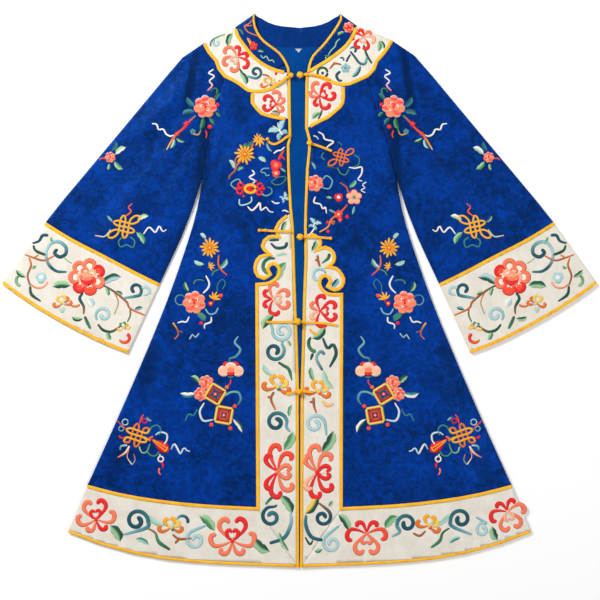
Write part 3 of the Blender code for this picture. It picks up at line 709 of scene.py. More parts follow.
def crease_panel(bm):
    """Bend a flat panel of the upper layer over the folds and creases, at its full thickness."""
    # Each vertex also carries how much painted shade the blue satin finish darkens it by.
    shade = bm.verts.layers.float.new("hollow")
    for vert in bm.verts:
        vert[shade] = hollow(vert.co.x, vert.co.y)
        base = FRONT_TOP if faces_up(vert) else FRONT_LOW
        vert.co.z = base + folds(vert.co.x, vert.co.y) + creases(vert.co.x, vert.co.y)


def crease_tube(bm, top):
    """Bend the upper wall of a flattened tube, and leave its folded edges and its lower wall."""
    rim = [v.co.copy() for v in bm.verts if abs(v.co.z - TUBE_MIDDLE) < RIM_HALF and v.normal.z ** 2 < 0.5]
    tree = KDTree(len(rim))
    for i, co in enumerate(rim):
        tree.insert((co.x, co.y, 0.0), i)
    tree.balance()
    # Each vertex also carries how much painted shade the blue satin finish darkens it by.
    shade = bm.verts.layers.float.new("hollow")
    moved = []
    for vert in bm.verts:
        x, y, z = vert.co
        vert[shade] = hollow(x, y)
        base = None
        if z > top - LEVEL_SLACK and faces_up(vert):
            base = top
        elif z > TUBE_SLOT_TOP - LEVEL_SLACK and faces_down(vert):
            base = TUBE_SLOT_TOP
        if base is None:
            continue
        away = min(1.0, tree.find((x, y, 0.0))[2] / FOLD_CLEARANCE)
        ease = away * away * (3.0 - 2.0 * away)
        moved.append((vert, base + folds(x, y) + ease * creases(x, y)))
    for vert, z in moved:
        vert.co.z = z


def cut_area(node):
    """Flat area in square metres of a piece: what of it faces up, which in a tube is both its walls."""
    mesh = frame["nodes"][node].data
    return sum(face.area * max(face.normal.z, 0.0) for face in mesh.polygons)


def lay(piece, node, rests_on, round_it=False):
    """Work out the flat size and area of a laid piece's cut that shows, all round on a tube; nothing is done
    with them.
    """
    low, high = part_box(node)
    width, length = high.x - low.x, high.y - low.y
    if round_it:
        width *= 2
    cut_area(node)


IVORY_PANELS = ("front_band", "hem_band", "yoke", "chest_tab")
TUBES = {
    "sleeve": ("robe_satin", FRONT_TOP, SATIN_GRID),
    "cuff_band": ("ivory_silk", FRONT_TOP, SILK_GRID),
    "cuff_trim": ("gold_satin", FRONT_TOP + TUBE_TRIM_PROUD, TRIM_GRID),
    "cuff_binding": ("gold_satin", FRONT_TOP + TUBE_TRIM_PROUD, TRIM_GRID),
}
BACK_NODES = {
    "back_panel": "robe_satin",
    "yoke_back": "ivory_silk",
    "yoke_trim_back": "gold_satin",
    "hem_band_back": "ivory_silk",
    "hem_trim_back": "gold_satin",
    "hem_binding_back": "gold_satin",
    "neck_tab": "pale_tape",
}
OVERLAYS = (
    "border_trim", "yoke_trim", "tab_trim", "neck_trim", "front_binding", "hem_binding", "collar_binding",
)
# More than a crease can lift: then the two heights are of different layers
MOST_LIFT = 6.0
GROUND = {}


def dress_panel(node, slot, grid):
    """A flat panel of the upper layer as cloth."""
    bm = copied(node)
    cut_on_grid(bm, grid)
    crease_panel(bm)
    piece = keep(f"{node}_cloth", bm, slot, [node])
    lay(piece, node, ["back_lining_cloth"])


def creased_tube(kind, side, ending):
    """A flattened tube of this kind as a piece of its own, creased on top."""
    slot, top, grid = TUBES[kind]
    node = f"{kind}_{side}"
    bm = copied(node)
    cut_on_grid(bm, grid)
    crease_tube(bm, top)
    return keep(f"{node}_{ending}", bm, slot, [node])


def dress_tube(kind, side):
    """A sleeve or cuff band as cloth, its cut measured all round."""
    lay(creased_tube(kind, side, "cloth"), f"{kind}_{side}", [], True)


class ROBE_OT_lining(bpy.types.Operator):
    """Lay the bright lining with its centre seam, and finish the back under it"""

    bl_idname = "robe.lining"
    bl_label = "Back and lining"

    def execute(self, context):
        for node, slot in BACK_NODES.items():
            mesh = frame["nodes"][node].data
            mesh.materials.clear()
            mesh.materials.append(finish_of(slot))
        bm = copied("back_lining")
        cut_on_grid(bm, SILK_GRID)
        for side in (-0.5, 0.0, 0.5):
            cut(bm, Vector((SEAM_X + side * SEAM_WIDE, 0.0, 0.0)), (1.0, 0.0, 0.0))
        bm.normal_update()
        for vert in bm.verts:
            if faces_up(vert) and abs(vert.co.x - SEAM_X) < 0.1:
                vert.co.z += SEAM_RIDGE
            if abs(vert.co.x) < NECK_HALF and vert.co.y > NECK_LOW:
                vert.co.y += NECK_REACH
        piece = keep("back_lining_cloth", bm, "lining_silk", ["back_lining"])
        lay(piece, "back_lining", ["back_panel"])
        return {"FINISHED"}


class ROBE_OT_satin(bpy.types.Operator):
    """Crease the satin fronts and sleeves over the folds"""

    bl_idname = "robe.satin"
    bl_label = "Satin fronts and sleeves"

    def execute(self, context):
        for side in SIDES:
            dress_panel(f"front_panel_{side}", "robe_satin", SATIN_GRID)
            dress_tube("sleeve", side)
        return {"FINISHED"}


class ROBE_OT_ivory(bpy.types.Operator):
    """Crease the ivory bands, hem, yoke, tabs and cuffs"""

    bl_idname = "robe.ivory"
    bl_label = "Ivory borders"

    def execute(self, context):
        for side in SIDES:
            for name in IVORY_PANELS:
                dress_panel(f"{name}_{side}", "ivory_silk", SILK_GRID)
            dress_tube("cuff_band", side)
        return {"FINISHED"}


class ROBE_OT_collar(bpy.types.Operator):
    """Soften the standing collar, crinkled along its seam"""

    bl_idname = "robe.collar"
    bl_label = "Collar"

    def execute(self, context):
        for side in SIDES:
            node = f"collar_{side}"
            bm = copied(node)
            cut_on_grid(bm, SILK_GRID)
            for vert in bm.verts:
                x, y, z = vert.co
                if abs(x) < COLLAR_SEAM:
                    vert.co.x = SIGN[side] * COLLAR_GAP
                if z > COLLAR_LOW:
                    wave = noise.noise(Vector((x * 0.09, y * 0.05, 4.2)))
                    vert.co.z += COLLAR_WAVE * (0.5 + 0.5 * wave) * min(1.0, (z - COLLAR_LOW) / COLLAR_EASE)
            piece = keep(f"{node}_cloth", bm, "collar_satin", [node])
            sum(f.area for f in frame["nodes"][node].data.polygons) * 0.5
        return {"FINISHED"}


def build_ground():
    """The dressed cloth, and the solids that it stands for, as two surfaces to measure from."""
    cloth = [o for o in bpy.context.scene.objects if o.name.endswith("_cloth")]
    GROUND["cloth"] = Ground(cloth)
    GROUND["solid"] = Ground([frame["nodes"][o.name.removesuffix("_cloth")] for o in cloth])


def cloth_height(x, y):
    """How high the dressed cloth lies at a place."""
    found = GROUND["cloth"].height(x, y)
    return FRONT_TOP + folds(x, y) + creases(x, y) if found is None else found


class ROBE_OT_trims(bpy.types.Operator):
    """Lay the golden trims and bindings on the creased cloth"""

    bl_idname = "robe.trims"
    bl_label = "Golden trims and bindings"

    def execute(self, context):
        build_ground()
        for side in SIDES:
            for kind in ("cuff_trim", "cuff_binding"):
                creased_tube(kind, side, "satin")
            for kind in OVERLAYS:
                self.overlay(f"{kind}_{side}")
        return {"FINISHED"}

    @staticmethod
    def overlay(node):
        """One strip, moved up or down with the cloth that it lies on."""
        bm = copied(node)
        if node in RUN_ON:
            low_x, high_x, low_y, high_y, move = RUN_ON[node]
            for vert in bm.verts:
                if low_x < vert.co.x < high_x and low_y < vert.co.y < high_y:
                    vert.co.xy += Vector(move)
        cut_on_grid(bm, TRIM_GRID)
        for vert in bm.verts:
            x, y = vert.co.xy
            was = GROUND["solid"].height(x, y)
            now = GROUND["cloth"].height(x, y)
            both = was is not None and now is not None and abs(now - was) < MOST_LIFT
            vert.co.z += now - was if both else creases(x, y)
        keep(f"{node}_satin", bm, "gold_satin", [node])


# Needlework


def distances(points):
    """How far along its points a line is at each of them."""
    return [0.0, *accumulate(math.dist(a, b) for a, b in zip(points, points[1:]))]


def spline(points, count):
    """Points and directions along one smooth curve through given points, closer at its two ends."""
    marks = distances(points)
    whole = marks[-1]
    found = []
    for i in range(count + 1):
        t = i / count
        t = t - 0.5 * math.sin(2 * math.pi * t) / (2 * math.pi)
        mark = t * whole
        k = 0
        while k < len(points) - 2 and marks[k + 1] < mark:
            k += 1
        span = marks[k + 1] - marks[k] or 1.0
        s = min(max((mark - marks[k]) / span, 0.0), 1.0)
        p1, p2 = points[k], points[k + 1]
        p0 = points[k - 1] if k else (2 * p1[0] - p2[0], 2 * p1[1] - p2[1])
        p3 = points[k + 2] if k + 2 < len(points) else (2 * p2[0] - p1[0], 2 * p2[1] - p1[1])
        place = []
        way = []
        for a, b, c, d in zip(p0, p1, p2, p3):
            bend = 2 * a - 5 * b + 4 * c - d
            twist = 3 * b - a - 3 * c + d
            place.append(0.5 * (2 * b + (c - a) * s + bend * s * s + twist * s ** 3))
            way.append(0.5 * ((c - a) + 2 * bend * s + 3 * twist * s * s))
        size = math.hypot(*way) or 1.0
        found.append((mark, place, (way[0] / size, way[1] / size)))
    return whole, found


def part_way(row, share):
    """The two neighbours that a share of a row's length falls between, and how far it is past the first."""
    place = share * (len(row) - 1)
    i = min(int(place), len(row) - 2)
    return row[i], row[i + 1], place - i


def along(values, share):
    """A value part way along a row of values, or the one value."""
    if not isinstance(values, (tuple, list)):
        return values
    first, second, rest = part_way(values, share)
    return first + (second - first) * rest


def blend(first, second, share):
    """A colour part way between two colours."""
    return tuple(a + (b - a) * share for a, b in zip(first, second))


def dye_along(names, share):
    """A floss colour part way along a row of colour names, or of the one name."""
    if isinstance(names, str):
        return FLOSS[names]
    first, second, rest = part_way(names, share)
    return blend(FLOSS[first], FLOSS[second], rest)


FLOSS = {
    "red": linear(240, 30, 32),
    "scarlet": linear(250, 72, 46),
    "coral": linear(255, 124, 88),
    "peach": linear(255, 184, 146),
    "cream": linear(247, 236, 214),
    "white": linear(244, 240, 230),
    "gold": linear(248, 178, 38),
    "yellow": linear(250, 206, 84),
    "orange": linear(232, 116, 36),
    "brown": linear(166, 94, 52),
    "wine": linear(140, 24, 38),
    "deepteal": linear(8, 78, 94),
    "teal": linear(44, 122, 134),
    "aqua": linear(126, 184, 190),
    "ice": linear(174, 212, 216),
    "pine": linear(16, 80, 60),
    "green": linear(66, 138, 92),
    "sage": linear(156, 200, 148),
    "night": linear(20, 46, 96),
    "navy": linear(4, 22, 66),
}


# Needlework in millimetres: how far it lies above the cloth, and each layer above the last
NEEDLE_LIFT = 0.12
LAYER = 0.28
# How full a padded shape is: its crown for its half width, how it falls off, and its flat underside
FULLEST = 0.45
ROUNDING = 0.6
UNDERSIDE = 0.22
# Spacing of the points along a shape, and how few and how many there may be
STEP = 2.6
FINE_STEP = 1.2
FEWEST = 6
MOST = 90
# How a pointed end narrows, and where one half of a shape gives way to the other
POINTED = 1.6
HALF_LINE = -0.05


class Hoop:
    """One piece of needlework: padded satin-stitch shapes laid on the cloth and kept as one mesh."""

    def __init__(self):
        self.bm = bmesh.new()
        self.dye = self.bm.verts.layers.float_color.new("floss")
        self.stitch = self.bm.verts.layers.float_vector.new("stitch")
        self.padding = bpy.context.scene.robe_needle.padding / MM
        self.put(0.0, 0.0)

    def put(self, x, y, size=1.0, turn=0.0, hand=1):
        """Where the next shapes go: their own up is turned to the left by turn degrees; hand -1 mirrors."""
        angle = math.radians(turn)
        self.spot = (x, y, size, math.cos(angle), math.sin(angle), hand)

    def out(self, p):
        """A motif's own point in the robe's plan."""
        x, y, size, c, s, hand = self.spot
        px, py = p[0] * size * hand, p[1] * size
        return (x + c * px - s * py, y + s * px + c * py)

    def shape(self, points, wide, dye, rim=None, half=None, layer=0, sides=6, blunt=True, step=STEP):
        """A padded shape along a curve. Half its width is wide, in the motif's own size.

        Its colour runs along it by dye, towards its edges by rim, or on one half by half.
        """
        spots = [self.out(p) for p in points]
        size, hand = self.spot[2], self.spot[5]
        length = distances(spots)[-1]
        count = max(FEWEST, min(MOST, round(length / step)))
        whole, line = spline(spots, count)
        widest = max(wide) * size if isinstance(wide, (tuple, list)) else wide * size
        crown = min(self.padding, widest * FULLEST)
        base = NEEDLE_LIFT + layer * LAYER
        cap = min(widest, whole / 2)
        made = bmesh.ops.create_grid(self.bm, x_segments=count, y_segments=sides, size=1.0)["verts"]
        for vert in made:
            i = round((vert.co.x + 1) / 2 * count)
            angle = vert.co.y * math.pi
            mark, place, way = line[i]
            share = mark / whole
            width = along(wide, share) * size
            end = min(mark, whole - mark)
            if end < cap:
                rest = 1 - end / cap
                width *= math.sqrt(max(0.0, 1 - rest * rest)) if blunt else 1 - rest ** POINTED
            if i in (0, count):
                width = 0.0
            across = math.cos(angle)
            up = math.sin(angle)
            x = place[0] - way[1] * across * width
            y = place[1] + way[0] * across * width
            fullness = width / widest if widest else 0.0
            rise = crown * up * fullness ** ROUNDING if up > 0 else UNDERSIDE * up * fullness
            vert.co = (x, y, cloth_height(x, y) + base + rise)
            tint = dye_along(half if half and across * hand < HALF_LINE else dye, share)
            if rim:
                tint = blend(tint, dye_along(rim, share), abs(across) ** 3)
            vert[self.dye] = (*tint, 1.0)
            vert[self.stitch] = (mark * MM, across * width * MM, 0.0)
        bmesh.ops.remove_doubles(self.bm, verts=made, dist=WELD)

    def done(self, name, slot):
        bmesh.ops.recalc_face_normals(self.bm, faces=self.bm.faces[:])
        keep(name, self.bm, slot, finish="floss", smooth=None)


Flower = namedtuple("Flower", "motif x y size turn tones")
Leaf = namedtuple("Leaf", "x0 y0 x1 y1 wide bend tones")
Vine = namedtuple("Vine", "points wide tones")
Scroll = namedtuple("Scroll", "x y radius start turns lead wide tones")

# Floss of leaves and scrolls: the dark half or the root first
DARK_LEAF = ("pine", "sage")
GREEN_LEAF = ("green", "sage")
TEAL_LEAF = ("deepteal", "aqua")
GOLD_LEAF = ("pine", "yellow")
PALE_LEAF = ("sage", "ice")
TEAL = ("aqua", "teal", "deepteal", "deepteal")
DEEP = ("deepteal", "deepteal", "teal")
ICE = ("aqua", "ice", "ice")
MOSS = ("pine", "green")
TWIG = ("brown", "brown", "orange")
REED = ("green", "teal")
BLUE_LEAF = ("deepteal", "teal")

# Hooks of the scrolling lotus: way out from its up, reach, bow, which floss
LOTUS_HOOKS = (
    (-142, 0.72, 0.2, 0), (-88, 1.0, 0.24, 1), (-28, 1.08, 0.21, 2),
    (28, 1.1, 0.21, 3), (86, 1.02, 0.26, 4), (144, 0.7, 0.2, 5),
)
WIDE_HOOKS = (
    (-126, 0.78, 0.18, 0), (-98, 1.1, 0.18, 1), (-58, 0.9, 0.2, 2),
    (57, 0.92, 0.2, 3), (96, 1.06, 0.18, 4), (124, 0.8, 0.18, 5),
)
# A hook's own line, out and off for a bow of one, and its widths
HOOK_LINE = ((0.05, 0.0), (0.42, -0.75), (0.8, -1.0), (1.0, -0.1), (0.97, 0.95), (0.74, 1.2))
HOOK_WIDTHS = (0.035, 0.06, 0.09, 0.112, 0.122, 0.095)
# One side of a lotus's split heart
HEART_LINE = ((0.0, 0.04), (0.21, 0.2), (0.27, 0.42), (0.13, 0.54), (0.03, 0.38))
HEART_WIDTHS = (0.05, 0.08, 0.1, 0.09, 0.06)
LEAF_WIDTHS = (0.12, 0.62, 0.95, 0.82, 1.0, 0.6, 0.14)
SCROLL_WIDTHS = (0.55, 0.85, 1.0, 1.0, 1.0, 1.05, 1.3)
KNOT_CORD = 0.076
# Points in a full turn of a scroll, and how much of its radius it winds in by
SCROLL_POINTS = 11
SCROLL_IN = 0.8
# Leaves wider than this have a vein, and vines thinner than this have fewer sides
VEINED = 5
FINE_VINE = 1.6


def polar(angle, reach):
    """A point out from the middle, its angle from up, to the right."""
    turn = math.radians(angle)
    return (reach * math.sin(turn), reach * math.cos(turn))


def ring(x, y, radius, count=12, start=0.0, share=1.0, squash=1.0):
    """Points round a circle, or part of the way round."""
    found = []
    for i in range(count + 1):
        turn = math.radians(start) + 2 * math.pi * share * i / count
        found.append((x + radius * math.cos(turn), y + radius * squash * math.sin(turn)))
    return found


def dot(hoop, x, y, radius, dye, layer=0, rim=None):
    """A round padded spot."""
    hoop.shape([(x - radius, y), (x + radius, y)], radius, dye, rim, layer=layer, sides=8, step=FINE_STEP)


def hook(hoop, angle, reach, dye, fat, bow):
    """A petal that runs out from the middle and curls over towards up at its end."""
    turn = math.radians(angle)
    s, c = math.sin(turn), math.cos(turn)
    curl = -1 if angle > 0 else 1
    points = []
    for out, bend in HOOK_LINE:
        off = curl * bow * bend
        points.append((reach * (out * s + off * c), reach * (out * c - off * s)))
    hoop.shape(points, [w * fat for w in HOOK_WIDTHS], dye)


def lotus(hoop, tones, hooks=LOTUS_HOOKS):
    """The scrolling lotus: three pairs of hooked petals round a small split heart."""
    fat = min(1.5, max(0.85, (44 / hoop.spot[2]) ** 0.6))
    for angle, reach, bow, which in hooks:
        hook(hoop, angle, reach, tones[which], fat, bow)
    for side in (-1, 1):
        hoop.shape([(side * x, y) for x, y in HEART_LINE], HEART_WIDTHS, tones[6], layer=1)
    dot(hoop, 0.0, 0.22, 0.06, "cream", 2)
    dot(hoop, 0.0, 0.0, 0.09, tones[6], 1)


def wide_lotus(hoop, tones):
    """The lotus as it is pressed into a narrow band: long at its sides, short up and down."""
    lotus(hoop, tones, WIDE_HOOKS)


def honeysuckle(hoop, tones):
    """A small flower of curling golden petals with a pale eye."""
    for angle, reach, which in ((-88, 1.1, 0), (-28, 0.9, 1), (24, 0.85, 1), (66, 0.8, 2), (112, 0.95, 0)):
        hook(hoop, angle, reach, tones[which], 1.7, 0.2)
    eyes = ((0.0, 0.0, "yellow"), (0.2, 0.16, "ice"), (-0.14, 0.14, "yellow"), (0.1, -0.16, tones[3]))
    for x, y, dye in eyes:
        dot(hoop, x, y, 0.15, dye, 2)


def scallops(hoop, count, inner, outer, wide, tones, layer, start):
    """A ring of round petals, each a curved rim of stitches."""
    span = 360 / count * 0.42
    middle = (inner + outer) / 2
    line = ((-0.72, inner), (-1, middle), (-0.55, outer * 0.97), (0, outer))
    line += ((0.55, outer * 0.97), (1, middle), (0.72, inner))
    widths = (wide * 0.5, wide, wide * 1.15, wide, wide * 0.5)
    for i in range(count):
        angle = start + 360 * i / count
        points = [polar(angle + span * part, reach) for part, reach in line]
        hoop.shape(points, widths, tones[i % len(tones)], layer=layer)


def peony(hoop, tones):
    """A full peony: a pale ground, seven petals, three of them filled, an inner cup and a ringed heart."""
    dot(hoop, 0.0, 0.0, 0.86, "cream")
    for angle in (63, 166, 218):
        x, y = polar(angle, 0.74)
        dot(hoop, x, y, 0.2, "scarlet", 1, "coral")
    scallops(hoop, 7, 0.5, 0.95, 0.125, tones, 1, 12)
    dot(hoop, 0.0, -0.02, 0.46, "coral", 1)
    scallops(hoop, 5, 0.2, 0.5, 0.08, ("coral", "peach", "scarlet"), 2, -20)
    hoop.shape([(-0.42, -0.12), (0.0, -0.38), (0.42, -0.12)], (0.05, 0.17, 0.05), "red", layer=3)
    dot(hoop, 0.0, 0.1, 0.24, "peach", 3)
    hoop.shape(ring(0.0, 0.1, 0.14, 8), 0.03, "scarlet", layer=4)
    dot(hoop, 0.0, 0.1, 0.06, "gold", 4)


def rose(hoop, tones):
    """A round flower of overlapping petals: pale edges outside, a red cup inside."""
    for i in range(7):
        x, y = polar(360 / 7 * i + 8, 0.64)
        dot(hoop, x, y, 0.38, tones[i % 2], i % 2, ("cream", "peach")[i % 2])
    for i in range(5):
        x, y = polar(72 * i + 35, 0.3)
        dot(hoop, x, y, 0.27, ("red", tones[1])[i % 2], 2 + i % 2, tones[2])
    for angle in (-70, 40, 150):
        petal = [polar(angle - 30, 0.34), polar(angle, 0.44), polar(angle + 34, 0.3)]
        hoop.shape(petal, (0.03, 0.07, 0.03), "cream", layer=4)
    dot(hoop, 0.0, 0.0, 0.14, "red", 4)


def blossom(hoop, tones):
    """A five-petalled blossom with a dark eye."""
    for i in range(5):
        x, y = polar(72 * i, 0.58)
        dot(hoop, x, y, 0.42, tones[0], i % 2, tones[1])
    dot(hoop, 0.0, 0.0, 0.26, tones[2], 2)
    for i in range(5):
        x, y = polar(72 * i + 36, 0.2)
        dot(hoop, x, y, 0.07, "yellow", 3)


def daisy(hoop, tones):
    """A chrysanthemum of narrow petals."""
    for i in range(13):
        angle = 360 / 13 * i
        reach = 1.0 - 0.16 * (i % 2)
        petal = [polar(angle, 0.12), polar(angle + 2, reach * 0.6), polar(angle, reach)]
        hoop.shape(petal, (0.05, 0.1, 0.13, 0.06), (tones[1], tones[0], tones[0]), layer=i % 2)
    dot(hoop, 0.0, 0.0, 0.2, tones[1], 2)
    dot(hoop, 0.0, 0.0, 0.1, tones[2], 3)


def lily(hoop, tones):
    """A side-on flower of five long petals."""
    for angle, reach in ((-64, 0.9), (-28, 1.0), (4, 1.08), (36, 0.95), (74, 0.82)):
        petal = [(0.0, 0.0), polar(angle, reach * 0.6), polar(angle + 6, reach)]
        hoop.shape(petal, (0.05, 0.15, 0.13, 0.03), tones[0])
    hoop.shape([(0.0, -0.3), (0.0, 0.12)], (0.06, 0.12), tones[1], layer=1)


def bud(hoop, tones):
    """A round bud with a pale middle and a little stalk."""
    dot(hoop, -0.24, 0.12, 0.5, tones[0])
    dot(hoop, 0.24, 0.12, 0.5, tones[0])
    dot(hoop, 0.0, -0.3, 0.5, tones[0], 1)
    dot(hoop, 0.02, 0.0, 0.32, tones[1], 2)


def water_lily(hoop, tones):
    """A side-on bloom: two round outer petals, two red tips and a cup, all with pale edges."""
    for side in (-1, 1):
        dot(hoop, side * 0.28, 0.3, 0.26, tones[0])
        dot(hoop, side * 0.46, -0.06, 0.37, tones[1], 1, "cream")
    dot(hoop, 0.0, 0.12, 0.4, tones[1], 2, "cream")
    dot(hoop, 0.0, 0.02, 0.24, "coral", 3, "peach")
    hoop.shape([(-0.26, -0.14), (0.0, -0.24), (0.26, -0.14)], (0.06, 0.16, 0.06), tones[0], layer=4)
    hoop.shape([(-0.2, -0.42), (0.0, -0.46), (0.2, -0.42)], (0.05, 0.08, 0.05), "teal", layer=1)


def berry(hoop, tones):
    """A single round berry."""
    dot(hoop, 0.0, 0.0, 0.66, tones[0])


def butterfly(hoop, tones):
    """Four pale wings, a body and two feelers."""
    for side in (-1, 1):
        upper = [(0.0, 0.1), (side * 0.5, 0.55), (side * 0.95, 0.62)]
        lower = [(0.0, -0.05), (side * 0.4, -0.3), (side * 0.6, -0.6)]
        feeler = [(side * 0.03, 0.2), (side * 0.12, 0.6), (side * 0.3, 0.85)]
        hoop.shape(upper, (0.05, 0.3, 0.26, 0.08), tones[0], tones[1])
        hoop.shape(lower, (0.05, 0.24, 0.2, 0.06), tones[1], tones[0])
        hoop.shape(feeler, 0.035, tones[2])
    hoop.shape([(0.0, 0.3), (0.0, -0.4)], 0.09, tones[2], layer=1)


def endless_knot(hoop, tones, tip=0.98):
    """A traditional endless knot: one cord, three lines each way, with a longer loop at two corners."""
    low, far, loop = 0.33, 0.54, 0.78
    half = [(0.0, 0.0), (0.0, -far), (low / 2, -loop), (low, -far), (low, 0.0), (low, far)]
    half += [(tip * 0.63, tip * 0.94), (tip, tip)]
    line = [(-x, -y) for x, y in reversed(half[1:])] + half
    hoop.shape(line, KNOT_CORD, tones[0])
    hoop.shape([(y, x) for x, y in line], KNOT_CORD, tones[1], layer=1)


def close_knot(hoop, tones):
    """The same knot drawn up, so that its loops are all alike."""
    endless_knot(hoop, tones, 0.72)


def lozenge(hoop, tones):
    """A framed lozenge charm: gold frame, dark ground and a coloured eye."""
    def frame_line(reach, wide, dye, layer):
        corners = [polar(angle, reach) for angle in (0, 90, 180, 270, 360)]
        for a, b in zip(corners, corners[1:]):
            hoop.shape([a, b], wide, dye, layer=layer, sides=4)

    hoop.shape([(0.0, -0.8), (0.0, 0.8)], (0.1, 0.8, 0.1), "night", blunt=False)
    frame_line(1.0, 0.13, tones[0], 2)
    frame_line(0.66, 0.07, tones[1], 2)
    frame_line(0.46, 0.06, tones[2], 2)
    dot(hoop, 0.0, 0.0, 0.2, tones[1], 3)
    dot(hoop, 0.0, 0.0, 0.09, "ice", 4)


def charm(hoop, tones):
    """A lute-shaped charm: a round body, a neck and strings."""
    hoop.shape([(0.0, 1.0), (0.0, 0.3), (0.0, -0.5), (0.0, -0.95)], (0.1, 0.18, 0.42, 0.5, 0.3), tones[0])
    hoop.shape([(-0.3, 0.95), (0.0, 1.12), (0.3, 0.95)], (0.08, 0.12, 0.08), tones[1], layer=1)
    for x in (-0.1, 0.1):
        hoop.shape([(x * 0.5, 0.8), (x, 0.1), (x * 1.4, -0.6)], 0.05, tones[2], layer=2)
    hoop.shape([(-0.28, -0.62), (0.0, -0.7), (0.28, -0.62)], 0.07, tones[2], layer=2)


def tassel(hoop, tones):
    """A ring with a knotted fringe under it."""
    hoop.shape(ring(0.0, 0.3, 0.36, 10, 90), 0.11, tones[0])
    hoop.shape([(0.0, -0.1), (0.12, -0.5), (0.0, -1.0)], (0.12, 0.16, 0.05), tones[1])
    hoop.shape([(0.0, 0.66), (0.0, 1.0)], (0.1, 0.12), tones[0])


def trinket(hoop, tones):
    """A rosette of rings: a woven middle with looped ends, as on a knotted cord."""
    hoop.shape(ring(0.0, 0.0, 0.4, 10, 0, 1.0, 0.7), 0.13, tones[0])
    hoop.shape(ring(0.0, 0.0, 0.14, 8, 0), 0.13, tones[1], layer=1)
    for x, y in ((-0.7, 0.26), (-0.78, -0.18), (0.72, 0.2), (0.66, -0.26)):
        hoop.shape(ring(x, y, 0.2, 8, 40), 0.09, tones[1])
    for x, y in ((-1.02, 0.05), (-0.5, -0.55), (1.0, 0.0), (0.42, 0.56)):
        dot(hoop, x, y, 0.1, tones[1])


def sew_leaf(hoop, leaf):
    """A pointed leaf in two halves, bent to one side, with a vein if it is wide."""
    dx, dy = leaf.x1 - leaf.x0, leaf.y1 - leaf.y0
    middle = (leaf.x0 + dx * 0.55 - dy * leaf.bend, leaf.y0 + dy * 0.55 + dx * leaf.bend)
    line = [(leaf.x0, leaf.y0), middle, (leaf.x1, leaf.y1)]
    dark, light = leaf.tones
    hoop.shape(line, [w * leaf.wide for w in LEAF_WIDTHS], dark, half=light, sides=10, blunt=False)
    if leaf.wide > VEINED:
        hoop.shape(line, (0.5, 0.7, 0.3), light, layer=1, sides=4)


def sew_vine(hoop, vine):
    """A stem or ribbon through the points of its row."""
    fine = isinstance(vine.wide, (int, float)) and vine.wide < FINE_VINE
    hoop.shape(vine.points, vine.wide, vine.tones, sides=4 if fine else 6)


def sew_scroll(hoop, scroll):
    """A tendril that winds in from its start, in parts of a turn, after a lead from afar if it has one."""
    points = [scroll.lead] if scroll.lead else []
    count = max(5, round(abs(scroll.turns) * SCROLL_POINTS))
    for i in range(count + 1):
        share = i / count
        turn = math.radians(scroll.start) + 2 * math.pi * scroll.turns * share
        reach = scroll.radius * (1.0 - SCROLL_IN * share * min(1.0, abs(scroll.turns)))
        points.append((scroll.x + reach * math.cos(turn), scroll.y + reach * math.sin(turn)))
    hoop.shape(points, [w * scroll.wide for w in SCROLL_WIDTHS], scroll.tones)


SEWN = {Leaf: sew_leaf, Vine: sew_vine, Scroll: sew_scroll}


def sew(hoop, row):
    """One row of a sampler: a flower in its own place and size, or a line in the robe's plan."""
    if isinstance(row, Flower):
        hoop.put(row.x, row.y, abs(row.size), row.turn, math.copysign(1, row.size))
        row.motif(hoop, row.tones)
    else:
        hoop.put(0.0, 0.0)
        SEWN[type(row)](hoop, row)


def mirrored(rows):
    """The same rows on the wearer's other side. A flower of negative size is sewn as its mirror image."""
    found = []
    for row in rows:
        if isinstance(row, Flower):
            found.append(row._replace(x=-row.x, size=-row.size, turn=-row.turn))
        elif isinstance(row, Leaf):
            found.append(row._replace(x0=-row.x0, x1=-row.x1, bend=-row.bend))
        elif isinstance(row, Vine):
            found.append(row._replace(points=[(-x, y) for x, y in row.points]))
        else:
            lead = row.lead and (-row.lead[0], row.lead[1])
            found.append(row._replace(x=-row.x, start=180 - row.start, turns=-row.turns, lead=lead))
    return found


RED_LOTUS = ("red", "scarlet", "scarlet", "coral", "red", "red", "coral")
SUN_LOTUS = ("red", "coral", "coral", "coral", "red", "red", "peach")
ROSE_LOTUS = ("coral", "coral", "coral", "red", "red", "peach", "red")
FLAME_LOTUS = ("coral", "red", "red", "red", "red", "peach", "red")
HEM_LOTUS = ("coral", "coral", "coral", "red", "coral", "coral", "red")
GOLD_FLOWER = ("orange", "gold", "yellow", "teal")
FIRE_FLOWER = ("orange", "gold", "yellow", "scarlet")
PEONY_RED = ("coral", "red", "coral", "scarlet", "red", "coral", "coral")
ROSE_CORAL = ("scarlet", "coral", "peach")
ROSE_RED = ("red", "coral", "peach")
GOLD_DAISY = ("gold", "orange", "yellow")
PALE_WINGS = ("ice", "aqua", "white")
KNOT_GOLD = ("gold", "gold")
KNOT_ORANGE = ("orange", "orange")

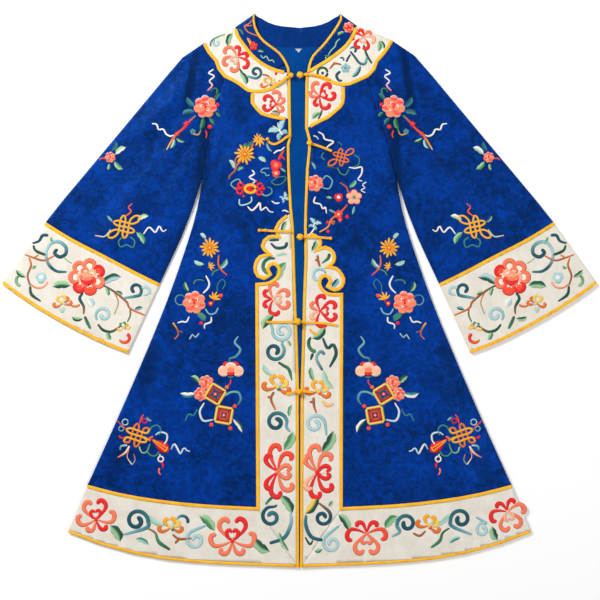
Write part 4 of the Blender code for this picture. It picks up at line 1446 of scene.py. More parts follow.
BAND_RIGHT = (
    Leaf(-35, 114, -25, 139, 4.5, 0.1, DARK_LEAF),
    Vine(((-61, 100), (-50, 101), (-40, 101)), (2, 3, 2), "deepteal"),
    Vine(((-58, 95), (-46, 85), (-29, 87), (-25, 97)), (2, 3, 3.4, 3), "deepteal"),
    Leaf(-48, 68, -24, 72, 3, 0.1, PALE_LEAF),
    Scroll(-58, 46, 20, 60, 0.6, None, 3.6, MOSS),
    Leaf(-42, 20, -26, 57, 8, 0.12, GREEN_LEAF),
    Flower(lotus, -53, -17, 30, -90, SUN_LOTUS),
    Leaf(-50, -47, -74, -78, 8, -0.12, DARK_LEAF),
    Scroll(-34, -81, 21, 165, 1.4, (-60, -60), 3.6, ICE),
    Leaf(-24, -99, -17, -112, 3, 0.0, GREEN_LEAF),
    Scroll(-50, -121, 21, 45, -1.35, (-31, -102), 3.7, TEAL),
    Vine(((-43, -143), (-32, -150), (-21, -158), (-15, -181)), (2.2, 3.2, 3.4, 1), MOSS),
    Leaf(-54, -170, -73, -146, 5, 0.14, PALE_LEAF),
    Flower(honeysuckle, -44, -193, 25, 0, GOLD_FLOWER),
    Vine(((-51, -202), (-57, -217), (-48, -239)), (2.6, 2.6, 1.8), TWIG),
    Vine(((-56, -213), (-64, -213)), 2.4, "brown"),
    Scroll(-46, -263, 22, -25, 1.4, (-18, -283), 3.9, TEAL),
    Leaf(-21, -252, -15, -228, 4, 0.1, GREEN_LEAF),
    Leaf(-32, -320, -13, -281, 9, -0.1, GREEN_LEAF),
    Flower(wide_lotus, -44, -362, 47, -90, RED_LOTUS),
    Vine(((-44, -409), (-58, -416), (-68, -428)), (2, 3, 2), MOSS),
    Leaf(-38, -408, -15, -447, 9, 0.1, DARK_LEAF),
    Vine(
        ((-18, -443), (-17, -465), (-30, -493), (-60, -505)), (2.6, 3.8, 3.8, 3.2),
        ("ice", "teal", "deepteal"),
    ),
    Scroll(-56, -452, 21, 75, 1.3, (-44, -428), 3.8, DEEP),
    Leaf(-41, -482, -21, -521, 5, -0.1, GREEN_LEAF),
)

HEM_RIGHT = (
    Leaf(-94, -493, -58, -522, 10, -0.12, DARK_LEAF),
    Flower(lotus, -134, -501, 43, 0, HEM_LOTUS),
    Leaf(-169, -481, -201, -450, 9, -0.12, GREEN_LEAF),
    Scroll(-207, -498, 20, 95, 1.3, (-186, -469), 3.6, ICE),
    Vine(((-216, -495), (-240, -496), (-254, -487)), (2, 2.8, 2), "brown"),
    Vine(((-240, -496), (-249, -505)), 2.6, "brown"),
    Flower(honeysuckle, -256, -474, 22, 10, GOLD_FLOWER),
    Scroll(-232, -462, 14, 160, -0.5, None, 3, TEAL),
    Leaf(-268, -470, -301, -447, 5, 0.16, PALE_LEAF),
    Vine(
        ((-305, -474), (-288, -484), (-281, -502), (-258, -518)), (1.6, 2.4, 4, 2.4),
        ("brown", "green", "pine"),
    ),
    Scroll(-325, -460, 24, -35, 1.35, (-352, -488), 4, TEAL),
    Leaf(-327, -495, -301, -508, 5, 0.1, ("green", "ice")),
    Leaf(-379, -468, -358, -503, 10, 0.12, DARK_LEAF),
    Flower(lotus, -406, -458, 36, 6, ("coral", "coral", "coral", "red", "coral", "red", "red")),
)

BAND_LEFT = (
    Leaf(24, 78, 33, 101, 5, -0.1, DARK_LEAF),
    Vine(((36, 71), (37, 60), (41, 47)), (2.4, 2.8, 2), "brown"),
    Vine(((37, 58), (31, 62)), 2, "brown"),
    Vine(((60, 74), (57, 64), (44, 54)), (3.4, 3, 1.4), MOSS),
    Scroll(38, 29, 16, 15, 1.1, None, 3.2, ICE),
    Leaf(63, 6, 77, 25, 6, -0.1, TEAL_LEAF),
    Flower(lotus, 41, -41, 30, -90, FLAME_LOTUS),
    Vine(((19, -76), (32, -87), (51, -83)), (1.4, 3.2, 1.8), "gold"),
    Leaf(52, -72, 24, -96, 8, 0.14, DARK_LEAF),
    Scroll(36, -108, 20, 130, 0.36, None, 3.6, MOSS),
    Vine(((27, -125), (22, -139)), (3.4, 2), "pine"),
    Vine(
        ((51, -128), (42, -122), (34, -136), (46, -160)), (3.4, 3, 3, 2.4), ("teal", "aqua", "deepteal"),
    ),
    Vine(
        ((46, -94), (56, -115), (67, -108), (73, -127), (60, -154)), (2.2, 3.2, 3.4, 3.6, 2),
        ("deepteal", "pine", "pine"),
    ),
    Leaf(47, -158, 69, -197, 6, -0.14, PALE_LEAF),
    Leaf(29, -181, 23, -152, 5, 0.1, GREEN_LEAF),
    Flower(honeysuckle, 38, -202, 23, 0, FIRE_FLOWER),
    Vine(((28, -213), (29, -230), (34, -245)), (2.6, 2.6, 1.8), TWIG),
    Vine(((27, -222), (20, -223)), 2.4, "brown"),
    Vine(((45, -219), (55, -230), (69, -226)), (2, 3.4, 3), ("yellow", "peach")),
    Scroll(31, -267, 20, 5, 1.3, (54, -290), 3.6, ICE),
    Leaf(44, -325, 68, -279, 10, -0.1, DARK_LEAF),
    Flower(wide_lotus, 35, -363, 47, -90, ROSE_LOTUS),
    Leaf(37, -407, 10, -447, 9, 0.1, GOLD_LEAF),
    Vine(((13, -448), (13, -470), (24, -492), (47, -499)), (2.6, 3.8, 3.8, 3.2), ("teal", "deepteal")),
    Scroll(46, -453, 18, 60, -1.25, (38, -424), 3.6, ("brown", "deepteal", "deepteal", "deepteal")),
    Leaf(58, -432, 67, -420, 4, 0.0, GREEN_LEAF),
    Scroll(65, -505, 19, 120, 1.3, (80, -469), 3.4, ICE),
    Leaf(101, -481, 77, -446, 8, -0.1, DARK_LEAF),
    Leaf(46, -516, 29, -520, 5, 0.1, GREEN_LEAF),
    Vine(((11, -492), (21, -507), (27, -498)), (1.4, 2.4, 1.6), "pine"),
)

HEM_LEFT = (
    Flower(lotus, 134, -485, 38, 180, ("red", "scarlet", "coral", "coral", "red", "red", "coral")),
    Leaf(170, -476, 197, -450, 8, 0.12, GREEN_LEAF),
    Scroll(214, -466, 21, -130, -1.3, (184, -492), 3.8, TEAL),
    Vine(((226, -484), (240, -490), (252, -480)), (2, 2.6, 2), "brown"),
    Flower(honeysuckle, 259, -470, 22, -8, FIRE_FLOWER),
    Leaf(268, -470, 298, -446, 5, -0.14, PALE_LEAF),
    Vine(((300, -474), (286, -484), (280, -500), (262, -514)), (1.6, 2.4, 3.6, 2.2), MOSS),
    Scroll(322, -457, 22, -140, -1.3, (345, -488), 3.8, TEAL),
    Leaf(322, -492, 298, -505, 5, -0.1, ("green", "ice")),
    Scroll(366, -478, 15, 60, 1.2, (352, -452), 3.2, ICE),
    Leaf(384, -470, 396, -500, 8, -0.1, DARK_LEAF),
    Flower(lotus, 415, -441, 34, 196, ("red", "coral", "coral", "coral", "red", "red", "peach")),
)

CUFF = (
    Flower(peony, -424, 27, 35, 0, PEONY_RED),
    Leaf(-456, 10, -494, 7, 8, -0.1, DARK_LEAF),
    Leaf(-396, 12, -355, 27, 8, 0.14, ("pine", "ice")),
    Flower(honeysuckle, -472, -25, 17, 20, ("orange", "yellow", "orange", "ice")),
    Flower(bud, -474, -38, 8, 0, ("ice", "yellow")),
    Vine(((-456, -31), (-446, -32), (-438, -28)), 2.2, "orange"),
    Vine(
        ((-432, -4), (-439, -16), (-431, -32), (-431, -48)), (2.2, 3.2, 2.6, 1.6),
        ("deepteal", "pine", "brown"),
    ),
    Leaf(-432, -56, -455, -52, 5, 0.16, DARK_LEAF),
    Vine(((-429, -51), (-424, -63), (-417, -77)), (2.4, 3.4, 2.4), MOSS),
    Scroll(-391, -49, 17, -140, -1.2, None, 3.4, ICE),
    Vine(
        ((-403, -67), (-392, -79), (-375, -82), (-356, -70)), (2, 3, 2.6, 1.6), ("pine", "pine", "brown"),
    ),
    Leaf(-384, -81, -376, -99, 5, -0.1, GREEN_LEAF),
    Flower(honeysuckle, -350, -74, 12, 20, ("yellow", "green", "gold", "orange")),
    Scroll(-348, -93, 13, 200, 0.62, None, 3.2, ("orange", "scarlet", "red")),
    Leaf(-424, -15, -413, -35, 8, 0.1, ("ice", "white")),
    Vine(
        ((-395, 12), (-372, -1), (-346, -22), (-338, -36), (-308, -50)), (1.6, 2.2, 2.4, 2, 1.6),
        ("pine", "brown", "orange"),
    ),
    Vine(((-338, -37), (-338, -50), (-344, -63)), (1.8, 1.8, 1.4), ("brown", "green")),
    Vine(((-370, -3), (-362, -24), (-370, -48)), 1.3, ("orange", "sage")),
    Leaf(-387, 8, -382, -12, 4, 0.1, GREEN_LEAF),
    Leaf(-369, -3, -353, -9, 4, 0.1, DARK_LEAF),
    Scroll(-328, 2, 14, -60, 0.9, (-356, -16), 3.2, TEAL),
    Vine(((-317, 4), (-305, 7), (-299, -4), (-312, -10)), (2, 3, 3, 2), "ice"),
    Leaf(-330, -38, -313, -33, 4, 0.0, TEAL_LEAF),
    Vine(((-534, 94), (-520, 99), (-513, 110), (-501, 110)), (2, 2.6, 3.2, 3), "deepteal"),
    Vine(((-532, 91), (-526, 79), (-504, 70)), (2, 3, 2.4), "pine"),
    Leaf(-489, 92, -496, 108, 3, 0.1, GREEN_LEAF),
    Vine(
        (
            (-464, 37), (-486, 39), (-502, 54), (-506, 76), (-496, 94), (-480, 97), (-467, 87),
            (-467, 73), (-479, 67), (-489, 75), (-483, 83),
        ),
        (2, 2.8, 3.2, 3, 2.8, 3, 3.4, 3.6, 3.6, 3.6, 3.4),
        ("teal", "deepteal", "ice", "aqua", "deepteal", "deepteal"),
    ),
    Vine(((-472, 68), (-464, 60), (-454, 54)), 1.2, "sage"),
    Vine(
        ((-549, 72), (-530, 65), (-510, 60), (-488, 70)), (1.4, 2, 2, 1.4), ("orange", "brown", "orange"),
    ),
    Vine(((-530, 66), (-521, 71)), 1.6, "orange"),
    Vine(
        ((-540, 66), (-536, 50), (-543, 30), (-538, 10)), (1.6, 2.2, 2, 1.8),
        ("orange", "brown", "brown"),
    ),
    Vine(((-538, 10), (-535, -8), (-516, -22)), (2.2, 3.2, 1.6), "pine"),
    Flower(bud, -516, 26, 15, 0, ("ice", "white")),
    Scroll(-518, 24, 22, 210, 0.36, None, 2, ("orange", "peach")),
    Leaf(-546, 26, -566, 42, 4.5, 0.1, DARK_LEAF),
    Scroll(-555, 18, 13, 100, 0.45, None, 3, GREEN_LEAF),
    Leaf(-534, 43, -525, 49, 4, 0.0, GREEN_LEAF),
)

SLEEVE = (
    Vine(((-262, 286), (-296, 232), (-350, 150), (-400, 73)), 0.55, "navy"),
    Flower(rose, -378, 266, 11, 0, ROSE_RED),
    Leaf(-368, 271, -346, 286, 5.6, 0.12, ("sage", "white")),
    Leaf(-370, 258, -352, 242, 5.4, -0.12, GREEN_LEAF),
    Leaf(-380, 254, -383, 240, 3.6, 0.1, GREEN_LEAF),
    Leaf(-375, 278, -366, 298, 5, -0.12, BLUE_LEAF),
    Vine(((-388, 263), (-395, 264), (-401, 260)), (1.4, 1.8, 1.2), ("scarlet", "brown")),
    Flower(rose, -188, 367, 23, 10, ROSE_RED),
    Vine(
        ((-171, 442), (-181, 434), (-170, 428), (-180, 418), (-174, 410), (-184, 398)),
        (1.4, 1.8, 1.6, 1.8, 1.4), ("white", "white", "coral"),
    ),
    Leaf(-208, 366, -225, 387, 6, 0.12, BLUE_LEAF),
    Leaf(-209, 357, -235, 351, 6, -0.12, BLUE_LEAF),
    Leaf(-170, 379, -157, 394, 5, 0.12, ("pine", "teal")),
    Leaf(-168, 356, -158, 346, 4.4, 0.1, MOSS),
    Scroll(-168, 398, 8, -150, -0.8, None, 1.8, MOSS),
    Vine(
        ((-206, 350), (-218, 339), (-233, 322), (-248, 309), (-266, 280)), (1.6, 2.6, 2.4, 2.6, 1),
        ("green", "red", "scarlet", "orange", "yellow"),
    ),
    Flower(bud, -226, 333, 7, 30, ("red", "scarlet")),
    Flower(bud, -244, 313, 6, 30, ("red", "orange")),
    Leaf(-249, 303, -258, 283, 4, 0.14, ("teal", "ice")),
    Leaf(-246, 304, -229, 297, 3.6, -0.1, DARK_LEAF),
    Flower(blossom, -213, 317, 6, 0, ("teal", "aqua", "deepteal")),
    Vine(((-214, 313), (-202, 311), (-196, 322)), (1.2, 1.8, 1.4), ("gold", "green")),
    Vine(
        ((-295, 333), (-285, 331), (-281, 321), (-272, 322), (-266, 312), (-257, 308), (-250, 311)),
        (1.2, 1.9, 1.9, 1.9, 2, 1.9, 1), "white",
    ),
    Leaf(-192, 346, -199, 321, 5.6, 0.12, MOSS),
    Leaf(-181, 345, -170, 330, 5, 0.1, ("pine", "teal")),
    Flower(berry, -179, 327, 7, 0, ("red",)),
    Flower(berry, -164, 371, 6, 0, ("red",)),
    Vine(((-188, 320), (-185, 312), (-187, 304)), (1.8, 1.6, 1), ("red", "scarlet")),
    Flower(endless_knot, -350, 127, 28, -12, KNOT_GOLD),
    Vine(((-349, 147), (-336, 157), (-341, 166), (-333, 174)), (1.2, 1.8, 1.6, 1), ("orange", "scarlet")),
    Leaf(-324, 140, -301, 149, 5, 0.12, ("sage", "white")),
    Leaf(-326, 117, -310, 92, 6, 0.12, GREEN_LEAF),
    Leaf(-372, 136, -384, 150, 4, 0.1, TEAL_LEAF),
    Vine(
        ((-312, 112), (-300, 126), (-288, 116), (-280, 128), (-273, 118), (-265, 122)),
        (1.2, 1.8, 1.8, 1.8, 1), "white",
    ),
    Vine(
        ((-376, 122), (-388, 108), (-398, 108), (-409, 110)), (1.2, 1.6, 1.6, 1), ("ice", "ice", "peach"),
    ),
    Vine(
        ((-352, 107), (-361, 98), (-357, 87), (-345, 91), (-333, 86), (-329, 98), (-338, 107)), 1.7,
        ("green", "teal", "green"),
    ),
)

CHEST_RIGHT = (
    Flower(daisy, -109, 272, 22, 0, GOLD_DAISY),
    Flower(lily, -82, 303, 17, 200, GOLD_DAISY),
    Flower(lily, -82, 301, 13, 20, GOLD_DAISY),
    Leaf(-94, 299, -116, 290, 5, 0.2, ("green", "deepteal")),
    Vine(((-97, 283), (-92, 294)), 1.8, "orange"),
    Vine(
        ((-111, 266), (-126, 248), (-128, 240), (-139, 229), (-141, 221)), (1.4, 2, 1.8, 1.8, 1.2),
        ("orange", "brown"),
    ),
    Vine(((-125, 266), (-129, 258), (-125, 250)), 1.3, "orange"),
    Leaf(-130, 242, -141, 261, 4.4, -0.14, PALE_LEAF),
    Leaf(-124, 239, -111, 245, 4, 0.2, GREEN_LEAF),
    Leaf(-83, 266, -67, 256, 5, 0.1, ("sage", "ice")),
    Vine(
        ((-95, 241), (-90, 233), (-100, 226), (-89, 219), (-94, 213)), (1.4, 1.8, 1.8, 1.8, 1.2), "white",
    ),
    Flower(butterfly, -38, 317, 22, 35, PALE_WINGS),
    Leaf(-65, 296, -54, 277, 4, -0.1, TEAL_LEAF),
    Vine(((-52, 273), (-44, 279), (-37, 280), (-29, 287)), (1.4, 1.8, 1.6, 1.4), "white"),
    Flower(bud, -47, 250, 16, -20, ("red", "coral")),
    Flower(bud, -47, 234, 11, -10, ("scarlet", "peach")),
    Vine(((-42, 260), (-36, 272), (-30, 280)), (2.6, 2.6, 1.4), ("red", "scarlet", "brown")),
    Vine(((-36, 268), (-29, 261)), (2.4, 1.2), "red"),
    Vine(((-60, 244), (-73, 243), (-77, 236), (-69, 235), (-66, 229), (-59, 231)), 1.4, "aqua"),
    Vine(
        ((-57, 217), (-42, 226), (-27, 226), (-34, 214), (-48, 211), (-57, 217)), 1.5, ("teal", "green"),
    ),
    Leaf(-39, 245, -27, 236, 4, 0.1, TEAL_LEAF),
    Flower(trinket, -98, 203, 27, 0, ("gold", "red")),
    Vine(((-126, 201), (-137, 211), (-132, 218), (-121, 222), (-116, 212)), 1.5, "aqua"),
    Vine(((-76, 193), (-67, 189), (-56, 194), (-56, 203), (-64, 207)), 1.6, ("aqua", "teal")),
    Vine(((-120, 183), (-119, 171), (-106, 172), (-96, 178), (-96, 188)), 1.6, "ice"),
    Vine(
        (
            (-104, 168), (-95, 160), (-86, 167), (-79, 175), (-77, 160), (-67, 166), (-60, 158),
            (-51, 156),
        ),
        (1.4, 2, 2, 2, 1.6, 1.4, 1), "white",
    ),
    Vine(((-56, 179), (-48, 174), (-39, 175)), (1.2, 1.7, 1.4), "white"),
    Flower(butterfly, -31, 184, 12, -60, PALE_WINGS),
    Vine(((-35, 158), (-30, 160), (-21, 156)), (1.2, 1.7, 1.4), "white"),
)

CHEST_LEFT = (
    Vine(
        ((37, 317), (47, 311), (51, 302), (68, 297), (56, 287), (55, 280)), (1.2, 1.8, 1.8, 1.8, 1.2),
        "white",
    ),
    Vine(((27, 309), (34, 307), (38, 301)), 1.3, "white"),
    Flower(endless_knot, 83, 266, 22, -14, KNOT_ORANGE),
    Vine(((49, 276), (44, 267), (51, 260)), 1.6, ("teal", "green")),
    Vine(((75, 296), (82, 294), (85, 288)), 1.5, "teal"),
    Vine(((108, 271), (119, 264), (117, 250), (104, 246)), 1.5, REED),
    Vine(((75, 246), (82, 234), (92, 231), (99, 243)), 1.6, REED),
    Vine(((53, 248), (63, 246), (73, 244)), (2.6, 2, 1.4), "pine"),
    Vine(
        ((98, 246), (111, 244), (124, 246), (124, 233), (117, 222), (126, 218)), (1.2, 1.6, 1.8, 1.6, 1),
        "white",
    ),
    Vine(((134, 217), (126, 211), (131, 205), (123, 200), (132, 195)), 1.3, "white"),
    Leaf(24, 257, 32, 241, 4, 0.14, TEAL_LEAF),
    Flower(rose, 31, 214, 17, 0, ROSE_RED),
    Vine(((47, 222), (54, 229), (65, 221), (64, 211), (58, 203), (46, 205)), 1.5, "aqua"),
    Vine(
        ((32, 188), (29, 176), (42, 172), (46, 163), (52, 166), (54, 153)), (1.4, 1.8, 1.6, 1.8, 1),
        "white",
    ),
    Vine(((80, 216), (94, 206), (98, 196), (108, 198)), (1.2, 1.8, 1.6, 1.2), ("brown", "scarlet")),
    Leaf(99, 206, 113, 221, 4.4, -0.1, GREEN_LEAF),
    Flower(blossom, 109, 186, 16, 0, ("peach", "coral", "teal")),
    Flower(bud, 78, 186, 12, 10, ("red", "cream")),
    Leaf(66, 184, 53, 187, 4.4, 0.1, DARK_LEAF),
    Leaf(110, 169, 105, 151, 4, 0.1, TEAL_LEAF),
    Vine(
        ((96, 172), (84, 158), (64, 142), (57, 127), (39, 116)), (1.4, 2, 2, 1.8, 1.2),
        ("scarlet", "orange", "gold"),
    ),
    Flower(blossom, 78, 152, 9, 0, ("scarlet", "red", "cream")),
    Flower(berry, 95, 147, 5.8, 40, ("red",)),
    Flower(bud, 81, 141, 6, 0, ("scarlet", "coral")),
    Flower(bud, 67, 136, 6, 0, ("orange", "night")),
    Flower(berry, 56, 136, 4.8, 0, ("red",)),
    Flower(berry, 57, 118, 5.4, 0, ("red",)),
    Leaf(73, 155, 58, 162, 3.6, 0.1, TEAL_LEAF),
    Flower(butterfly, 29, 131, 14, -25, PALE_WINGS),
    Vine(((31, 127), (26, 118), (19, 111)), (1.4, 1.8, 1.4), "white"),
)

BODY = (
    Flower(daisy, -179, 85, 21, 0, GOLD_DAISY),
    Leaf(-187, 103, -199, 114, 4.6, -0.1, PALE_LEAF),
    Vine(((-161, 71), (-162, 54), (-157, 42), (-144, 30)), (1.4, 1.8, 1.8, 1.2), ("orange", "scarlet")),
    Flower(lily, -180, 47, 12, -65, GOLD_DAISY),
    Leaf(-190, 52, -211, 60, 4.6, 0.12, PALE_LEAF),
    Leaf(-161, 43, -145, 64, 5, -0.14, ("green", "ice")),
    Vine(((-160, 42), (-170, 38), (-175, 29)), (1.2, 1.8, 1.4), "green"),
    Vine(((-187, 30), (-180, 15), (-183, 4), (-193, -6)), (1.4, 2, 2, 1.4), "white"),
    Vine(((-212, 12), (-207, 20), (-196, 21), (-190, 18)), 1.6, REED),
    Leaf(-221, -3, -229, 18, 5, 0.12, DARK_LEAF),
    Vine(ring(-238, -19, 10, 9, 20), 1.5, ("teal", "aqua")),
    Flower(rose, -210, -24, 23, 0, ROSE_CORAL),
    Flower(lily, -170, -18, 16, -10, ("gold", "scarlet")),
    Flower(bud, -177, -26, 7, 0, ("red", "yellow")),
    Flower(bud, -157, -10, 6, 0, ("scarlet", "orange")),
    Vine(((-164, -2), (-163, 12), (-154, 22), (-148, 14), (-154, 2)), 1.5, "teal"),
    Vine(((-188, -36), (-180, -47), (-168, -45), (-162, -34)), 1.7, "aqua"),
    Leaf(-206, -46, -188, -62, 7, 0.14, REED),
    Vine(((-220, -52), (-226, -63), (-234, -62), (-244, -65)), (1.4, 1.8, 1.8, 1.2), "white"),
    Vine(
        ((-253, -64), (-245, -76), (-242, -88), (-250, -98)), (2, 1.8, 1.6, 1),
        ("gold", "brown", "orange"),
    ),
    Vine(((-244, -80), (-232, -84)), 1.3, "brown"),
    Vine(((-176, -52), (-177, -63), (-189, -68), (-189, -77)), (1.4, 2, 1.8, 1.2), "white"),
    Vine(((-200, -85), (-208, -94), (-213, -88), (-220, -98)), 1.4, "ice"),
    Flower(berry, -196, -65, 5.8, 0, ("red",)),
    Vine(
        ((-122, -91), (-129, -104), (-118, -118), (-127, -132), (-139, -136), (-139, -146)),
        (1.2, 2.4, 2.6, 2.4, 1.6), ("aqua", "teal"),
    ),
    Flower(water_lily, -137, -159, 31, 0, ("red", "peach")),
    Vine(((-137, -177), (-138, -185), (-144, -192)), 1.5, "scarlet"),
    Flower(rose, -197, -207, 14, 30, ROSE_RED),
    Flower(rose, -186, -184, 15, 0, ROSE_CORAL),
    Leaf(-199, -186, -217, -171, 6, -0.12, DARK_LEAF),
    Leaf(-206, -206, -239, -205, 6, 0.12, ("teal", "white")),
    Vine(
        ((-151, -211), (-136, -203), (-122, -204), (-117, -217), (-124, -229)), (1.6, 2.4, 2.6, 2.6, 1.6),
        ("aqua", "teal"),
    ),
    Flower(lozenge, -168, -207, 22, 14, ("yellow", "red", "teal")),
    Flower(lozenge, -151, -249, 22, 35, ("yellow", "red", "orange")),
    Flower(berry, -145, -193, 6.2, 0, ("orange",)),
    Flower(berry, -129, -231, 6.4, 0, ("scarlet",)),
    Flower(berry, -176, -268, 6.4, 0, ("scarlet",)),
    Flower(berry, -138, -275, 6.4, 0, ("scarlet",)),
    Vine(
        ((-190, -224), (-199, -242), (-192, -260), (-172, -258)), (1.4, 2.2, 2.4, 1.6), ("white", "ice"),
    ),
    Vine(((-203, -236), (-212, -250), (-221, -247), (-229, -262)), (1.2, 2, 2, 1.2), "teal"),
    Leaf(-133, -256, -114, -284, 5.4, 0.1, ("pine", "white")),
    Flower(close_knot, -325, -289, 29, -18, ("orange", "gold")),
    Vine(((-319, -266), (-316, -256), (-311, -247)), (1.4, 1.8, 1.2), "scarlet"),
    Vine(ring(-309, -260, 5, 7, 100), 1.3, "red"),
    Leaf(-305, -252, -294, -260, 4, -0.1, TEAL_LEAF),
    Vine(ring(-348, -263, 6, 8, 0), 1.4, "ice"),
    Vine(ring(-356, -276, 5, 8, 0), 1.3, "aqua"),
    Vine(((-364, -260), (-354, -270), (-344, -280)), 1.4, "scarlet"),
    Vine(((-361, -290), (-355, -295), (-348, -293)), (2.4, 2, 1.4), "red"),
    Vine(((-358, -320), (-356, -311), (-343, -309)), (2, 2.6, 2), ("teal", "ice")),
    Vine(((-339, -310), (-348, -324), (-364, -334)), (2, 2.4, 1.2), ("cream", "orange")),
    Vine(((-340, -316), (-344, -332), (-334, -348)), (1, 1, 1.4), ("scarlet", "cream")),
    Vine(((-334, -348), (-328, -338), (-331, -326)), 1, ("sage", "orange")),
    Vine(((-301, -285), (-295, -273), (-284, -269), (-277, -277), (-280, -290)), 1.7, REED),
    Vine(
        ((-288, -289), (-278, -283), (-265, -287), (-265, -299), (-271, -308)), (1.4, 2, 2, 1.4),
        ("ice", "white"),
    ),
    Vine(((-320, -311), (-315, -323), (-305, -322), (-298, -305)), 1.7, ("sage", "green")),
    Vine(((-304, -322), (-295, -330), (-286, -329), (-280, -321)), 1.7, "green"),
    Vine(((-311, -292), (-297, -300)), 2, "gold"),
    Flower(charm, -278, -309, 22, 54, ("red", "orange", "gold")),
    Vine(
        (
            (-257, -318), (-250, -307), (-243, -317), (-238, -326), (-231, -315), (-224, -320),
            (-218, -321),
        ),
        (1.4, 2, 2, 2, 1.6, 1), ("aqua", "white", "ice", "white"),
    ),
    Flower(tassel, -276, -341, 15, 12, ("cream", "red")),
    Vine(((-279, -354), (-281, -361), (-277, -369)), (2, 1.8, 1.2), "coral"),
)

YOKE_RIGHT = (
    Flower(lotus, -124, 467, 27, 140, ("red", "red", "coral", "coral", "coral", "red", "peach")),
    Leaf(-143, 487, -133, 514, 6, 0.14, DARK_LEAF),
    Vine(((-148, 512), (-165, 506), (-176, 498), (-178, 487)), (1.4, 2, 2, 1.6), ("sage", "teal")),
    Scroll(-165, 494, 8, 120, 1.0, None, 2.4, ICE),
    Vine(((-120, 443), (-114, 434), (-108, 429)), (1.6, 2, 1.8), "pine"),
    Leaf(-119, 437, -106, 410, 6, 0.12, DARK_LEAF),
    Scroll(-87, 436, 13, -120, 1.2, (-112, 430), 2.8, TEAL),
    Vine(((-75, 431), (-64, 429), (-56, 420)), (1.6, 1.8, 1.2), "brown"),
    Flower(honeysuckle, -60, 412, 15, 15, GOLD_FLOWER),
    Flower(berry, -47, 433, 4.8, 0, ("red",)),
    Leaf(-44, 418, -34, 413, 4, 0.1, GREEN_LEAF),
)

YOKE_LEFT = (
    Flower(lotus, 128, 506, 22, 168, ("coral", "peach", "red", "red", "red", "red", "peach")),
    Leaf(159, 499, 157, 477, 4.6, 0.1, GREEN_LEAF),
    Leaf(161, 499, 169, 482, 4, 0.1, DARK_LEAF),
    Vine(((128, 491), (135, 469), (145, 453)), (1.8, 2.4, 2), "pine"),
    Vine(((135, 468), (131, 453), (120, 454), (109, 468), (101, 478)), (2, 2.6, 2.6, 2.2, 2), TEAL),
    Scroll(108, 480, 7.5, 170, -0.7, None, 2.4, TEAL),
    Vine(((93, 456), (97, 464), (102, 472)), (2, 2.2, 1.8), "deepteal"),
    Leaf(122, 450, 104, 426, 4.6, 0.12, TEAL_LEAF),
    Flower(blossom, 92, 444, 10, 0, ("aqua", "ice", "teal")),
    Vine(((82, 438), (74, 430), (78, 420), (86, 419)), (2.6, 3, 2.8, 2), "deepteal"),
    Vine(((60, 442), (70, 453), (84, 451)), (1.6, 2.2, 1.8), "brown"),
    Vine(((68, 452), (69, 457)), 1.4, "orange"),
    Scroll(85, 461, 5, 160, -0.6, None, 1.8, DEEP),
    Vine(ring(46, 435, 10, 10, 0), 2.4, "pine"),
    Flower(berry, 46, 434, 4.8, 0, ("pine",)),
)

TAB_RIGHT = (
    Flower(lotus, -46, 372, 24, 84, ("coral", "coral", "red", "red", "coral", "coral", "red")),
    Leaf(-56, 357, -38, 351, 4, 0.1, DARK_LEAF),
)

TAB_LEFT = (
    Flower(lotus, 40, 388, 27, -64, ("coral", "coral", "red", "red", "red", "red", "red")),
    Vine(((45, 361), (42, 351), (37, 342)), (1.6, 2, 1.6), "pine"),
    Leaf(42, 356, 25, 342, 5, -0.12, GREEN_LEAF),
)

COLLAR_RIGHT = (
    Vine(((-111, 528), (-101, 532), (-93, 541)), (1.2, 1.4, 0.8), "orange"),
    Vine(((-111, 528), (-102, 528), (-93, 529)), (1.2, 1.4, 0.8), "orange"),
    Vine(((-111, 528), (-104, 517), (-92, 511), (-80, 506)), (1.2, 1.4, 1.2, 0.8), "orange"),
    Leaf(-121, 524, -112, 509, 3.4, 0.1, BLUE_LEAF),
    Leaf(-105, 505, -97, 489, 3.4, 0.1, ("orange", "gold")),
    Flower(blossom, -92, 488, 9, 0, ("red", "scarlet", "wine")),
    Leaf(-84, 479, -71, 476, 3.4, 0.1, DARK_LEAF),
    Vine(
        ((-78, 470), (-72, 464), (-66, 468), (-61, 459), (-54, 460), (-50, 454)), (1, 1.5, 1.4, 1.5, 1),
        "sage",
    ),
)

COLLAR_LEFT = (
    Flower(rose, 98, 525, 11, 0, ("coral", "red", "scarlet")),
    Leaf(90, 516, 76, 509, 3.8, -0.1, GREEN_LEAF),
    Vine(((81, 503), (74, 496), (71, 487), (63, 479), (57, 470)), (1, 1.5, 1.4, 1.4, 1), "sage"),
    Vine(((50, 469), (56, 468), (62, 469)), (1.2, 1.8, 1.2), "green"),
    Vine(((52, 467), (55, 460), (60, 467)), 1.2, ("yellow", "sage")),
)

# The needlework by the slot of the cloth that it is sewn on
SAMPLERS = {
    "ivory_silk": {
        "band_right": BAND_RIGHT,
        "band_left": BAND_LEFT,
        "hem_right": HEM_RIGHT,
        "hem_left": HEM_LEFT,
        "cuff_right": CUFF,
        "cuff_left": mirrored(CUFF),
        "yoke_right": YOKE_RIGHT,
        "yoke_left": YOKE_LEFT,
        "tab_right": TAB_RIGHT,
        "tab_left": TAB_LEFT,
    },
    "collar_satin": {
        "collar_right": COLLAR_RIGHT,
        "collar_left": COLLAR_LEFT,
    },
    "robe_satin": {
        "sleeve_right": SLEEVE,
        "sleeve_left": mirrored(SLEEVE),
        "chest_right": CHEST_RIGHT,
        "chest_left": CHEST_LEFT,
        "skirt_right": BODY,
        "skirt_left": mirrored(BODY),
    },
}


def stitch(slot):
    """Sew every sampler of one cloth."""
    for name, rows in SAMPLERS[slot].items():
        hoop = Hoop()
        for row in rows:
            sew(hoop, row)
        hoop.done(f"{name}_needlework", slot)


